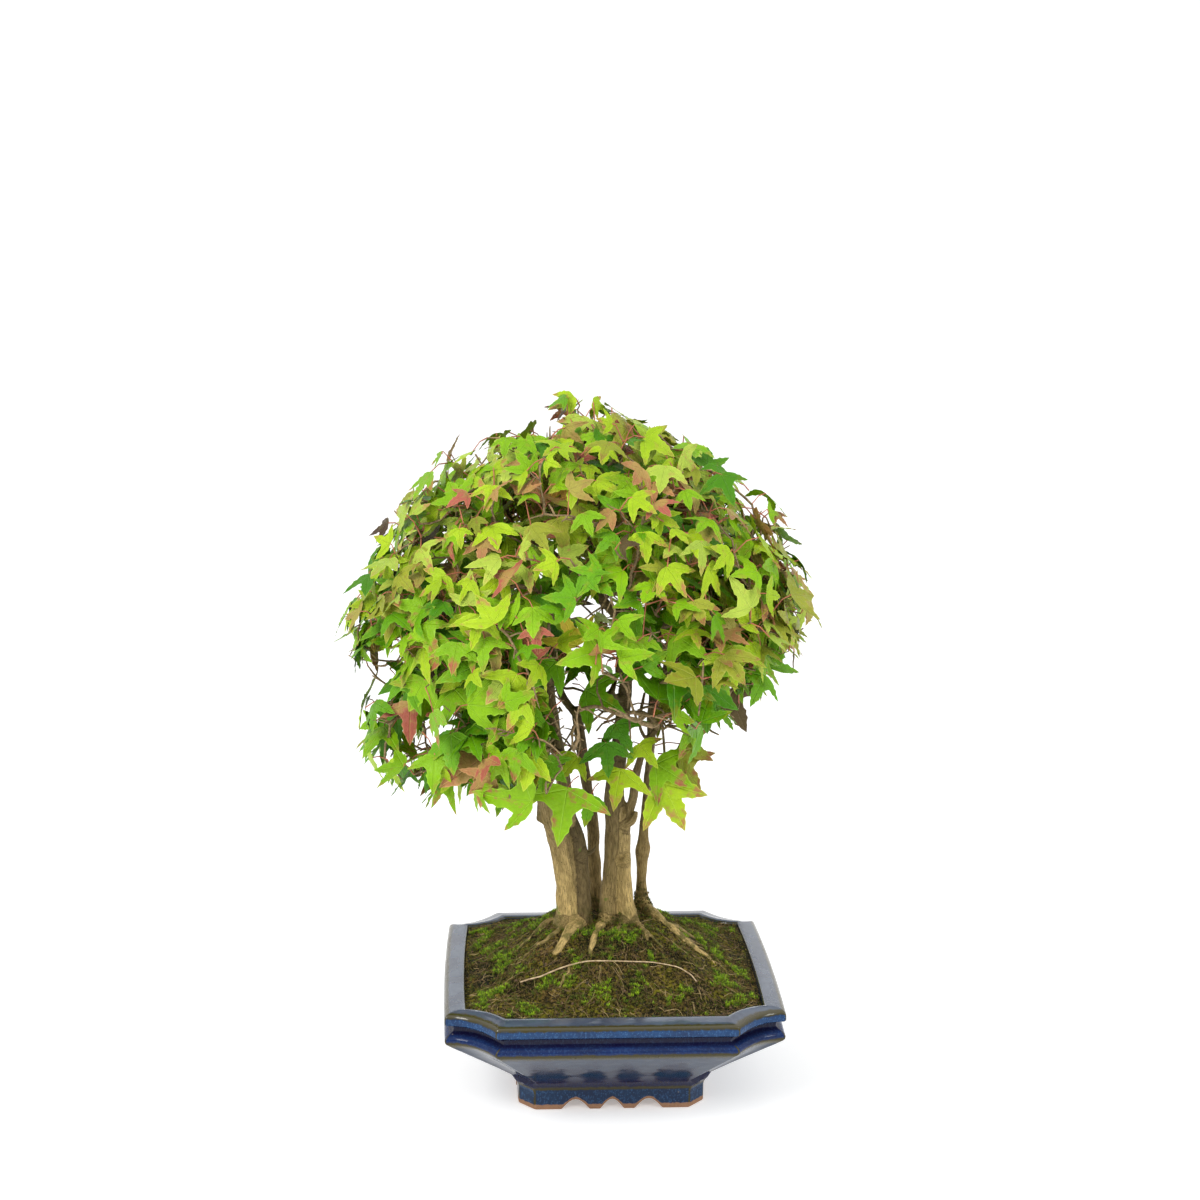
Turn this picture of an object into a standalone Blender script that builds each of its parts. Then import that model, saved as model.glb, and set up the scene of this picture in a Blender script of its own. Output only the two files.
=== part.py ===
"""Potted trident maple: a clump of slender trunks in a glazed pot with notched corners.

The pot's outline is lofted through its profile, the soil fills it and rises to a low
mound, and four trunks stand on the mound's flat top.  Boughs leave the trunks and end
where they enter the crown's foliage masses.  Each mass grows from its bough's tip by
one seeded rule.  Metres, +Z up, with the pot's feet on the ground at z = 0.
"""
import math
import random

import bmesh
import bpy
from mathutils import Matrix, Vector
from mathutils.bvhtree import BVHTree

MM = 0.001
GAP = 0.3 * MM                      # air between neighbouring pieces
MERGE = 0.05 * MM                   # points closer than this are one point
SEED = 20

# ---- where the pot stands, so that the whole plant is centred over the origin
STAND = Vector((29 * MM, -16.3 * MM, 0.0))

# ---- pot
POT_WIDTH = 281 * MM
POT_DEPTH = 252 * MM
RIM_TOP = 103.4 * MM
SIDE_BOW = 2.0 * MM                 # how far the left and right sides swell
UNDERSIDE = 12 * MM                 # height of the pot's base over the ground
FLOOR = 22 * MM                     # height of the inside floor
NOTCH_STEPS = 5                     # straight pieces in one notch's curve
RIM_NOTCH = (41.8 * MM, 26.8 * MM, 2.3)     # along the front, along the side, curve power
INNER_NOTCH = (33.5 * MM, 19.4 * MM, 2.0)
BODY_NOTCH = (20 * MM, 16 * MM, 1.3)
FOOT_NOTCH = (13.2 * MM, 13.2 * MM, 1.0)
FOOT_INSET = 61.5 * MM
WALL = 9 * MM
# Each level: height, inset from the rim's outline, notch.  From the recess under the
# base, round the feet, up the outside, over the rim and down the inside to the floor.
POT_LEVELS = (
    (UNDERSIDE, FOOT_INSET + WALL, FOOT_NOTCH),
    (0.0, FOOT_INSET + WALL, FOOT_NOTCH),
    (0.0, FOOT_INSET, FOOT_NOTCH),
    (16 * MM, FOOT_INSET, FOOT_NOTCH),
    (21 * MM, 59.5 * MM, FOOT_NOTCH),
    (28 * MM, 55.5 * MM, BODY_NOTCH),
    (76 * MM, 1.8 * MM, RIM_NOTCH),
    (80 * MM, 0.0, RIM_NOTCH),
    (84.5 * MM, 6.8 * MM, RIM_NOTCH),
    (90.5 * MM, 6.8 * MM, RIM_NOTCH),
    (92.5 * MM, 0.0, RIM_NOTCH),
    (102 * MM, 0.0, RIM_NOTCH),
    (RIM_TOP, 1.4 * MM, RIM_NOTCH),
    (RIM_TOP + 1.5 * MM, 16.2 * MM, INNER_NOTCH),
    (RIM_TOP, 17.5 * MM, INNER_NOTCH),
    (72 * MM, 20 * MM, INNER_NOTCH),
    (30 * MM, 66 * MM, INNER_NOTCH),
    (FLOOR, 69 * MM, INNER_NOTCH),
)
INSIDE_LEVELS = 3                   # the last levels that the soil fills up to
# The apron between the feet is cut by three arches a side: middle, half width.
ARCHES = ((-31.7 * MM, 11.3 * MM), (0.0, 7.4 * MM), (31.7 * MM, 11.3 * MM))
ARCH_TOP = 10.5 * MM
ARCH_SHOULDER = 7.5 * MM
ARCH_NARROWING = 0.86               # half width at the shoulder, of that at the ground

# ---- soil
SOIL_CLEAR = 0.39 * MM              # between the soil and the pot's inside
SOIL_EDGE = 98.5 * MM
SOIL_TOP = 142.5 * MM
MOUND_CENTRE = Vector((-2 * MM, 14 * MM))
MOUND_HALF = (60 * MM, 42 * MM)     # half axes of the mound's flat top
MOUND_RINGS = 5
MOUND_ROUNDING = 0.45               # 0 is a straight slope, 1 eases fully in and out of it

# ---- limbs
TRUNK_SIDES = 10
BOUGH_SIDES = 6
STEPS_PER_SPAN = 2                  # straight pieces between two stations of a limb
SWELL = 0.4 * MM                    # how much a carrier is swollen to cut what it bears

# Trunks: height over the soil, x, y, half width, half depth, all in millimetres.
TRUNKS = {
    "trunk_left": (
        (0, -31, -2, 17.5, 14), (12, -32, -2, 15, 12.5), (37, -32.5, -2, 15.2, 11.5),
        (73, -37, -4, 16, 11), (102, -45, -6, 16.5, 10.5),
    ),
    "trunk_rear": (
        (0, -8, 36, 8, 8), (18, -10.5, 36, 6.2, 6.2), (76, -13.5, 37, 5.5, 5.5),
        (118, -20, 41, 4.8, 4.8), (180, -28.5, 46, 5, 5),
    ),
    "trunk_main": (
        (0, 7.5, 5, 16.5, 13), (16, 6.5, 5, 14.2, 11), (33, 5.5, 5, 12.1, 10.5),
        (83, 5.5, 6, 11, 10), (113, 3, 7, 9, 8.6), (178, 9, 9, 6.6, 6.6),
        (220, 12, 10, 5.6, 5.6), (284, 9.5, 9, 5.4, 5.4), (340, 0, 7, 3.6, 3.6),
    ),
    "trunk_right": (
        (0, 31, 45, 8, 7), (14, 30.5, 45, 5.2, 5.2), (57, 31.5, 45, 4.9, 4.9),
        (102, 34.5, 44, 3.8, 3.8), (172, 37.5, 43, 4.1, 4.1), (212, 43, 42, 6, 5.5),
    ),
}

# Boughs: carrier, height over the soil where it leaves the carrier's axis, its own x there
# or None for the axis itself, its radius at both ends, and the stations that it passes
# (x, y, height over the soil).  Millimetres.
BOUGHS = {
    "bough_left": (
        "trunk_left", 96, -54, 8.2, 3.4,
        ((-57.5, -12, 135), (-64, -20, 164), (-79, -28, 189), (-104, -34, 200), (-128, -36, 205)),
    ),
    "bough_left_inner": (
        "trunk_left", 94, -37.2, 7.0, 3.0,
        ((-40, 0, 125), (-45.5, 0, 155), (-50, -4, 188), (-57, -18, 228), (-72, -46, 266)),
    ),
    "bough_left_front": (
        "bough_left", 152, None, 3.6, 2.4,
        ((-68, -40, 166), (-84, -64, 178)),
    ),
    "bough_left_high": (
        "bough_left_inner", 214, None, 3.4, 2.6,
        ((-68, -6, 236), (-98, -4, 258), (-132, -4, 276)),
    ),
    "bough_left_rear": (
        "trunk_rear", 176, -31, 3.6, 2.4,
        ((-42, 52, 192), (-46, 58, 214), (-54, 74, 246), (-70, 88, 268)),
    ),
    "bough_left_back": (
        "bough_left_rear", 202, None, 2.8, 2.2,
        ((-62, 64, 206), (-88, 64, 200)),
    ),
    "bough_rear": (
        "trunk_rear", 176, -25, 3.4, 2.4,
        ((-12, 54, 187), (2, 64, 187), (8, 82, 196)),
    ),
    "bough_centre": (
        "bough_left_inner", 146, None, 2.8, 2.0,
        ((-46, -16, 157), (-48, -42, 154)),
    ),
    "bough_front_low": (
        "trunk_main", 176, None, 3.0, 2.2,
        ((10, -14, 190), (8, -42, 198)),
    ),
    "bough_front": (
        "trunk_main", 268, None, 4.2, 2.8,
        ((4, -22, 300), (-10, -58, 330)),
    ),
    "bough_upper_left": (
        "trunk_main", 262, None, 4.6, 3.0,
        ((-18, 8, 292), (-50, 6, 322), (-78, 4, 344)),
    ),
    "bough_back": (
        "trunk_main", 290, None, 4.0, 2.8,
        ((4, 36, 316), (-8, 78, 340)),
    ),
    "bough_upper_right": (
        "trunk_main", 280, None, 4.4, 3.0,
        ((22, 12, 296), (53, 12, 320), (64, 6, 344)),
    ),
    "bough_right": (
        "trunk_main", 246, None, 4.2, 2.6,
        ((32, 6, 257), (53, 2, 268), (80, -6, 279), (100, -10, 287)),
    ),
    "bough_right_front": (
        "trunk_main", 230, None, 3.6, 2.6,
        ((28, -18, 246), (50, -52, 262)),
    ),
    "bough_inner": (
        "trunk_main", 82, 12, 4.6, 2.4,
        ((18.5, 4, 110), (21, 0, 134), (27, -6, 158), (36, -14, 178)),
    ),
    "bough_right_low": (
        "trunk_right", 204, 45, 4.8, 3.0,
        ((60, 40, 238), (76, 40, 250), (96, 44, 252)),
    ),
    "bough_right_back": (
        "trunk_right", 204, 42, 4.0, 2.6,
        ((42, 62, 236), (56, 86, 256)),
    ),
    "bough_right_spur": (
        "trunk_right", 182, None, 2.8, 1.8,
        ((50, 40, 187), (64, 32, 190)),
    ),
}

# Surface roots: half width at the start and at the end, and the stations (x, y) that it
# passes on the soil.  Millimetres.
ROOTS = {
    "root_right": (3.6, 1.6, ((35, 31), (40, 11), (46, 0), (58, -6), (70, -10), (81, -13), (90, -21))),
    "root_left": (3.4, 1.8, ((-31, -19.5), (-39, -27), (-50, -43))),
    "root_middle": (2.9, 1.5, ((-9, -10), (-14, -24), (-21, -45))),
    "root_small": (2.0, 1.2, ((29, -9), (31, -23), (38, -38))),
}
ROOT_HEIGHT = 1.1                   # of a root's half width
# Across, in half widths, and up, in heights: flat below, widest at mid height.
ROOT_SECTION = ((-0.7, 0.0), (-1.0, 0.45), (-0.6, 0.9), (0.6, 0.9), (1.0, 0.45), (0.7, 0.0))
ROOT_STEP = 5 * MM
ROOT_CLEAR = 0.4 * MM               # under a root
ROOT_PROBE = 3 * MM                 # how far along a root the soil is felt for its highest
SKY = 1.0                           # a height in metres over the whole plant

# Foliage masses: the limb whose tip carries it, its heart (x, y, height over the ground),
# and for those that hang below the crown the radius of the ball around the heart that
# they keep to.  Millimetres.
MASSES = {
    "foliage_top": ("trunk_main", (-24, 13, 552), None),
    "foliage_top_right": ("bough_upper_right", (64, -1, 535), None),
    "foliage_top_left": ("bough_upper_left", (-112, 5, 525), None),
    "foliage_top_back": ("bough_back", (-26, 115, 512), None),
    "foliage_top_front": ("bough_front", (-22, -93, 508), None),
    "foliage_right": ("bough_right", (132, -9, 450), None),
    "foliage_right_front": ("bough_right_front", (74, -89, 425), None),
    "foliage_right_low": ("bough_right_low", (128, 51, 388), None),
    "foliage_right_back": ("bough_right_back", (72, 117, 430), None),
    "foliage_left_back": ("bough_left_rear", (-108, 111, 430), None),
    "foliage_left": ("bough_left_high", (-182, -1, 440), None),
    "foliage_left_front": ("bough_left_inner", (-112, -91, 425), None),
    "foliage_left_low": ("bough_left", (-172, -21, 332), None),
    "foliage_low_front": ("bough_left_front", (-104, -83, 310), None),
    "foliage_low_back": ("bough_left_back", (-124, 73, 318), None),
    "foliage_rear": ("bough_rear", (14, 111, 345), None),
    "foliage_centre": ("bough_centre", (-48, -57, 268), 66),
    "foliage_front_low": ("bough_front_low", (10, -75, 330), None),
    "foliage_spray_low": ("bough_inner", (44, -19, 282), 66),
    "foliage_spray_right": ("bough_right_spur", (84, 13, 322), None),
}

# ---- crown: a dome, deeper on the left than on the right
CROWN_CENTRE = Vector((-27.5 * MM, 17 * MM, 405 * MM))
CROWN_HALF = (206 * MM, 184 * MM, 202 * MM)
CROWN_DROP_LEFT = 185 * MM          # depth below the centre on the left
CROWN_DROP_RIGHT = 115 * MM         # and on the right
DROP_TURN = 130 * MM                # distance over which the one passes into the other
DROP_POWER = 3.0                    # the dome is round above, and squarer below its centre
MASS_MARGIN = 1.2 * MM              # clear space that a mass keeps to its border
MASS_REACH = 130 * MM               # no mass reaches further than this from its heart

# ---- twigs and leaves
SPRAYS = 11                         # twigs on each mass's stem
SPRAY_CHOICES = 90                  # points drawn for each mass, of which the sprays are chosen
SPRAY_TRIES = 20000                 # points tried at most to find them
SPRAY_SHELL = (0.45, 0.90)          # how far out in the crown sprays begin
STEM_KNEE = 8 * MM                  # a stem runs straight on from its bough this far
STEM_END_RADIUS = 2.2 * MM
STEM_NODES = (0.15, 0.4, 0.7, 1.0)  # where twigs leave a stem, from its knee to its end
TWIG_SIDES = 3
TWIG_RADIUS = (2.0 * MM, 1.6 * MM)
SHORTEST_TWIG = 8 * MM
LONG_TWIG = 34 * MM                 # a longer twig has a second spray at its middle
LEAF_LENGTH = (52 * MM, 66 * MM)
LEAF_SHRINKS = (1.0, 0.86, 0.72, 0.58)
LEAF_HALF_WIDTH = 0.44              # of the leaf's length
LEAF_LOBE_AT = 0.60                 # where along the leaf its side lobes point
LEAF_CREST_AT = 0.48                # where along the leaf its middle is thickest
LEAF_ROOT = 0.018                   # thickness at the root, of the length
LEAF_THICK = 0.030                  # thickness at the middle, of the length
LEAF_FOLD = 0.06                    # how far the side lobes sink, of the length
# The end leaf and a pair behind it: radians from the twig, distance back from its end.
LEAF_PLACES = ((0.0, 2 * MM), (1.15, 5 * MM), (-1.15, 8 * MM))
LEAF_SPREAD = 0.3                   # radians by which that angle varies
LEAF_OUTWARD = 0.35                 # how strongly leaves turn away from the crown's centre
LEAF_DROOP = (0.15, 0.65)           # how strongly they hang, least and most
LEAF_FACING = 0.9                   # how much their faces look up rather than outwards
LEAF_TILT = 0.3                     # how much the way that they face varies

COLOURS = {                         # base colour, roughness
    "pot": ((0.05, 0.09, 0.20, 1.0), 0.15),
    "soil": ((0.06, 0.05, 0.03, 1.0), 0.95),
    "bark": ((0.30, 0.24, 0.16, 1.0), 0.80),
    "foliage": ((0.20, 0.42, 0.05, 1.0), 0.55),
}


# ---------------------------------------------------------------- objects and materials
def clear_scene():
    for item in list(bpy.data.objects):
        bpy.data.objects.remove(item, do_unlink=True)


def finish_material(name, kind):
    colour, roughness = COLOURS[kind]
    material = bpy.data.materials.new(name)
    material.use_nodes = True
    shader = material.node_tree.nodes["Principled BSDF"]
    shader.inputs["Base Color"].default_value = colour
    shader.inputs["Roughness"].default_value = roughness
    shader.inputs["Metallic"].default_value = 0.0
    return material


def mesh_object(name, vertices, faces, collection=None):
    mesh = bpy.data.meshes.new(name)
    mesh.from_pydata([tuple(v) for v in vertices], [], faces)
    mesh.update()
    item = bpy.data.objects.new(name, mesh)
    (collection or bpy.context.scene.collection).objects.link(item)
    return item


def evaluated_mesh(item):
    bpy.context.view_layer.update()
    graph = bpy.context.evaluated_depsgraph_get()
    return bpy.data.meshes.new_from_object(item.evaluated_get(graph))


def combine(item, cutters, operation, solver):
    """Join or cut an object with others by one Boolean, then remove the others."""
    group = bpy.data.collections.new("tools")
    bpy.context.scene.collection.children.link(group)
    for cutter in cutters:
        for owner in list(cutter.users_collection):
            owner.objects.unlink(cutter)
        group.objects.link(cutter)
    step = item.modifiers.new("combine", "BOOLEAN")
    step.operation = operation
    step.operand_type = "COLLECTION"
    step.collection = group
    step.solver = solver
    mesh = evaluated_mesh(item)
    item.modifiers.remove(step)
    item.data = mesh
    for cutter in cutters:
        bpy.data.objects.remove(cutter, do_unlink=True)
    bpy.data.collections.remove(group)


def piece_of(item):
    mesh = item.data
    return [vertex.co.copy() for vertex in mesh.vertices], [tuple(f.vertices) for f in mesh.polygons]


def keep_largest_shell(item):
    """Drop loose scraps and sealed hollows, which are shells apart from the main one."""
    work = bmesh.new()
    work.from_mesh(item.data)
    left = set(work.verts)
    shells = []
    while left:
        shell = {left.pop()}
        edge = list(shell)
        while edge:
            vertex = edge.pop()
            for link in vertex.link_edges:
                other = link.other_vert(vertex)
                if other in left:
                    left.discard(other)
                    shell.add(other)
                    edge.append(other)
        shells.append(shell)
    shells.sort(key=len)
    for shell in shells[:-1]:
        bmesh.ops.delete(work, geom=list(shell), context="VERTS")
    work.to_mesh(item.data)
    work.free()


def merge_close(item):
    """Join the points that a cut has left almost on top of each other."""
    work = bmesh.new()
    work.from_mesh(item.data)
    bmesh.ops.remove_doubles(work, verts=work.verts, dist=MERGE)
    work.to_mesh(item.data)
    work.free()


# ---------------------------------------------------------------- lofting
def loft_faces(ring_count, sides):
    """Quads between rings of equal length, and a face over each end ring."""
    faces = [tuple(reversed(range(sides)))]
    for ring in range(ring_count - 1):
        low = ring * sides
        for side in range(sides):
            after = (side + 1) % sides
            faces.append((low + side, low + after, low + sides + after, low + sides + side))
    top = (ring_count - 1) * sides
    faces.append(tuple(range(top, top + sides)))
    return faces


def loft(name, rings):
    vertices = [point for ring in rings for point in ring]
    return mesh_object(name, vertices, loft_faces(len(rings), len(rings[0])))


# ---------------------------------------------------------------- pot and soil
def notched_outline(inset, notch):
    """The pot's outline in plan, anticlockwise, with a hollow curve at each corner."""
    half_width = POT_WIDTH / 2 - inset
    half_depth = POT_DEPTH / 2 - inset
    along_front, along_side, power = notch
    corner = []
    for step in range(NOTCH_STEPS + 1):
        share = step / NOTCH_STEPS
        x = half_width - along_front * share
        y = half_depth - along_side * (1 - share ** power)
        corner.append((x, y))
    mirrored = [(-x, y) for x, y in reversed(corner)]
    half = corner + mirrored
    half.append((-half_width - SIDE_BOW, 0.0))
    return half + [(-x, -y) for x, y in half]


def level_ring(height, inset, notch):
    return [STAND + Vector((x, y, height)) for x, y in notched_outline(inset, notch)]


def arch_profile(middle, half):
    shoulder = half * ARCH_NARROWING
    below = -ARCH_SHOULDER
    return (
        (middle - half, below), (middle + half, below),
        (middle + shoulder, ARCH_SHOULDER), (middle, ARCH_TOP), (middle - shoulder, ARCH_SHOULDER),
    )


def arch_cutter(middle, half, across):
    """A long prism under the base, along Y, or along X where across is set."""
    reach = POT_WIDTH / 2
    rings = []
    for end in (-reach, reach):
        ring = []
        for offset, height in arch_profile(middle, half):
            place = (-end, -offset, height) if across else (offset, -end, height)
            ring.append(STAND + Vector(place))
        rings.append(ring)
    return loft("arch", rings)


def make_pot():
    pot = loft("pot", [level_ring(*level) for level in POT_LEVELS])
    cutters = [arch_cutter(m, h, across) for m, h in ARCHES for across in (False, True)]
    combine(pot, cutters, "DIFFERENCE", "EXACT")
    return pot


def mound_height(share):
    """Height of the soil from the rim's edge, share 0, to the mound's top, share 1."""
    eased = share * share * (3 - 2 * share)
    return SOIL_EDGE + (SOIL_TOP - SOIL_EDGE) * (share + (eased - share) * MOUND_ROUNDING)


def make_soil():
    inside = POT_LEVELS[-INSIDE_LEVELS:]
    rings = []
    for height, inset, notch in reversed(inside):
        rings.append(level_ring(height + SOIL_CLEAR, inset + SOIL_CLEAR, notch))
    edge = level_ring(SOIL_EDGE, inside[0][1] + SOIL_CLEAR, inside[0][2])
    rings.append(edge)
    for step in range(1, MOUND_RINGS + 1):
        share = step / MOUND_RINGS
        ring = []
        for point in edge:
            offset = point - STAND
            angle = math.atan2(offset.y / POT_DEPTH, offset.x / POT_WIDTH)
            flat = Vector((
                MOUND_CENTRE.x + MOUND_HALF[0] * math.cos(angle),
                MOUND_CENTRE.y + MOUND_HALF[1] * math.sin(angle),
                0.0,
            ))
            place = offset.lerp(flat, share)
            place.z = mound_height(share)
            ring.append(STAND + place)
        rings.append(ring)
    return loft("soil", rings)


# ---------------------------------------------------------------- limbs
def smooth_path(stations):
    """Points through the stations (lists of numbers) on a Catmull-Rom curve."""
    points = [stations[0]]
    last = len(stations) - 1
    for index in range(last):
        before = stations[max(index - 1, 0)]
        start, end = stations[index], stations[index + 1]
        after = stations[min(index + 2, last)]
        for step in range(1, STEPS_PER_SPAN + 1):
            t = step / STEPS_PER_SPAN
            point = []
            for a, b, c, d in zip(before, start, end, after):
                point.append(0.5 * (
                    2 * b + (c - a) * t + (2 * a - 5 * b + 4 * c - d) * t ** 2
                    + (3 * b - a - 3 * c + d) * t ** 3
                ))
            points.append(point)
    return points


def trunk_stations(name):
    """Centre x, y, z, half width and half depth of each station, in metres."""
    rows = []
    for height, x, y, wide, deep in TRUNKS[name]:
        rows.append((
            STAND.x + x * MM, STAND.y + y * MM, SOIL_TOP + GAP + height * MM,
            wide * MM, deep * MM,
        ))
    return smooth_path(rows)


def trunk_rings(name, grow):
    path = trunk_stations(name)
    rings = []
    for index, (x, y, z, wide, deep) in enumerate(path):
        lift = grow if index == len(path) - 1 else 0.0
        drop = grow if index == 0 else 0.0
        ring = []
        for side in range(TRUNK_SIDES):
            angle = 2 * math.pi * side / TRUNK_SIDES
            ring.append(Vector((
                x + (wide + grow) * math.cos(angle),
                y + (deep + grow) * math.sin(angle),
                z + lift - drop,
            )))
        rings.append(ring)
    return rings


def axis_point(name, height):
    """The point on a limb's axis at a height over the soil, in metres."""
    level = SOIL_TOP + height * MM
    path = limb_axis(name)
    for low, high in zip(path, path[1:]):
        if low.z <= level <= high.z:
            return low.lerp(high, (level - low.z) / (high.z - low.z))
    return path[-1] if level > path[-1].z else path[0]


def limb_axis(name):
    if name in TRUNKS:
        return [Vector(row[:3]) for row in trunk_stations(name)]
    return [Vector(row[:3]) for row in bough_stations(name)]


def bough_stations(name):
    """Centre x, y, z and radius along a bough, which starts on its carrier's axis."""
    carrier, height, start_x, thick, thin, passed = BOUGHS[name]
    start = axis_point(carrier, height)
    if start_x is not None:
        start.x = STAND.x + start_x * MM
    rows = [(start.x, start.y, start.z)]
    for x, y, over in passed:
        rows.append((STAND.x + x * MM, STAND.y + y * MM, SOIL_TOP + over * MM))
    path = smooth_path(rows)
    last = len(path) - 1
    stations = []
    for index, point in enumerate(path):
        radius = thick + (thin - thick) * index / last
        stations.append((point[0], point[1], point[2], radius * MM))
    return stations


def tube_rings(points, radii, sides, lengthen=0.0):
    """Rings square to a path, each turned as little as can be from the one before."""
    rings = []
    side_way = None
    for index, point in enumerate(points):
        ahead = points[min(index + 1, len(points) - 1)]
        behind = points[max(index - 1, 0)]
        along = (ahead - behind).normalized()
        if side_way is None:
            helper = Vector((0, 0, 1)) if abs(along.z) < 0.9 else Vector((1, 0, 0))
            side_way = along.cross(helper).normalized()
        side_way = (side_way - along * side_way.dot(along)).normalized()
        other_way = along.cross(side_way)
        centre = point
        if index == len(points) - 1:
            centre = point + along * lengthen
        ring = []
        for side in range(sides):
            angle = 2 * math.pi * side / sides
            ring.append(
                centre + radii[index] * (math.cos(angle) * side_way + math.sin(angle) * other_way)
            )
        rings.append(ring)
    return rings


def bough_rings(name, grow):
    rows = bough_stations(name)
    points = [Vector(row[:3]) for row in rows]
    radii = [row[3] + grow for row in rows]
    return tube_rings(points, radii, BOUGH_SIDES, grow)


def limb_rings(name, grow=0.0):
    return trunk_rings(name, grow) if name in TRUNKS else bough_rings(name, grow)


def make_trunk(name):
    return loft(name, limb_rings(name))


def make_bough(name):
    """A bough is cut back to the skin of its carrier, and of the trunk below that."""
    bough = loft(name, limb_rings(name))
    carriers = []
    carrier = BOUGHS[name][0]
    while carrier is not None:
        carriers.append(loft("carrier", limb_rings(carrier, SWELL)))
        carrier = BOUGHS[carrier][0] if carrier in BOUGHS else None
    combine(bough, carriers, "DIFFERENCE", "EXACT")
    keep_largest_shell(bough)
    merge_close(bough)
    return bough


def root_path(stations):
    """Points a short step apart along the smooth line through a root's stations."""
    path = smooth_path([(STAND.x + x * MM, STAND.y + y * MM) for x, y in stations])
    points = [Vector(path[0])]
    for start, end in zip(path, path[1:]):
        start, end = Vector(start), Vector(end)
        count = max(1, round((end - start).length / ROOT_STEP))
        points += [start.lerp(end, step / count) for step in range(1, count + 1)]
    return points


def highest_ground(ground, plan, along):
    """The highest soil under a point of a root and a little way before and after it."""
    heights = []
    for shift in (-ROOT_PROBE, 0.0, ROOT_PROBE):
        x, y = plan + along * shift
        heights.append(ground.ray_cast(Vector((x, y, SKY)), Vector((0, 0, -1)))[0].z)
    return max(heights)


def make_root(name, ground):
    """A root that lies along the soil: flat below, rounded above, thinning outwards."""
    thick, thin, stations = ROOTS[name]
    points = root_path(stations)
    last = len(points) - 1
    rings = []
    for index, point in enumerate(points):
        along = (points[min(index + 1, last)] - points[max(index - 1, 0)]).normalized()
        side = Vector((along.y, -along.x))
        half = (thick + (thin - thick) * index / last) * MM
        rise = half * ROOT_HEIGHT
        ring = []
        for across, share in ROOT_SECTION:
            plan = point + side * across * half
            height = highest_ground(ground, plan, along) + ROOT_CLEAR + rise * share
            ring.append(Vector((plan.x, plan.y, height)))
        rings.append(ring)
    return loft(name, rings)


# ---------------------------------------------------------------- the crown's space
def in_crown(point):
    """How far out a point lies in the crown: 0 at its centre, 1 on its outline."""
    offset = point - STAND - CROWN_CENTRE
    plan = math.hypot(offset.x / CROWN_HALF[0], offset.y / CROWN_HALF[1])
    if offset.z >= 0:
        return math.hypot(plan, offset.z / CROWN_HALF[2])
    turn = min(max(offset.x / DROP_TURN, 0.0), 1.0)
    drop = CROWN_DROP_LEFT + (CROWN_DROP_RIGHT - CROWN_DROP_LEFT) * turn
    return (plan ** DROP_POWER + (-offset.z / drop) ** DROP_POWER) ** (1 / DROP_POWER)


def segment_distance(point, start, end):
    along = end - start
    share = min(max((point - start).dot(along) / along.length_squared, 0.0), 1.0)
    return (point - start - along * share).length


class MassSpace:
    """The space of one mass: nearer to its own stem than to any other mass's stem."""

    def __init__(self, name, spines):
        self.start, self.heart, self.along = spines[name]
        self.others = [spine[:2] for other, spine in spines.items() if other != name]
        ball = MASSES[name][2]
        self.ball = None if ball is None else ball * MM

    def outwardness(self, point):
        if self.ball is None:
            return in_crown(point)
        return (point - self.heart).length / self.ball

    def holds(self, point):
        if self.outwardness(point) > 1.0:
            return False
        own = segment_distance(point, self.start, self.heart)
        nearest = min(segment_distance(point, a, b) for a, b in self.others)
        return nearest - own > 2 * MASS_MARGIN


# ---------------------------------------------------------------- twigs and leaves
def twig_piece(start, end, thick, thin):
    rings = tube_rings([start, end], [thick, thin], TWIG_SIDES)
    return [point for ring in rings for point in ring], loft_faces(2, TWIG_SIDES)


def leaf_piece(root, along, up, length):
    """A leaf of eight faces: a thick root, a raised middle, two side lobes and a tip."""
    side = along.cross(up).normalized()
    up = side.cross(along).normalized()
    half_root = LEAF_ROOT * length / 2
    lobe = root + along * (LEAF_LOBE_AT * length) - up * (LEAF_FOLD * length)
    vertices = [
        root + up * half_root,
        root - up * half_root,
        lobe - side * (LEAF_HALF_WIDTH * length),
        lobe + side * (LEAF_HALF_WIDTH * length),
        root + along * length,
        root + along * (LEAF_CREST_AT * length) + up * (LEAF_THICK * length),
    ]
    faces = [
        (5, 2, 0), (5, 4, 2), (5, 3, 4), (5, 0, 3),
        (2, 4, 1), (4, 3, 1), (2, 1, 0), (1, 3, 0),
    ]
    return vertices, faces


def sample_points(piece):
    vertices, faces = piece
    middles = [sum((vertices[i] for i in face), Vector()) / len(face) for face in faces]
    edges = []
    for face in faces:
        for a, b in zip(face, face[1:]):
            edges.append((vertices[a] + vertices[b]) / 2)
    return list(vertices) + middles + edges


def tree_of(pieces):
    vertices, faces = [], []
    for piece_vertices, piece_faces in pieces:
        base = len(vertices)
        vertices.extend(piece_vertices)
        faces.extend(tuple(base + i for i in face) for face in piece_faces)
    return BVHTree.FromPolygons(vertices, faces)


def fits(piece, space, limbs):
    if not all(space.holds(point) for point in sample_points(piece)):
        return False
    return not tree_of([piece]).overlap(limbs)


def even_targets(space, rng, count):
    """Points spread evenly through a mass's outer part, each far from those before."""
    low, high = SPRAY_SHELL
    choices = []
    for _ in range(SPRAY_TRIES):
        point = space.heart + Vector([rng.uniform(-MASS_REACH, MASS_REACH) for _ in range(3)])
        if low <= space.outwardness(point) <= high and space.holds(point):
            choices.append(point)
        if len(choices) == SPRAY_CHOICES:
            break
    chosen = [choices.pop(0)]
    while choices and len(chosen) < count:
        roomiest = max(choices, key=lambda point: min((point - c).length for c in chosen))
        choices.remove(roomiest)
        chosen.append(roomiest)
    return chosen


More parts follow.
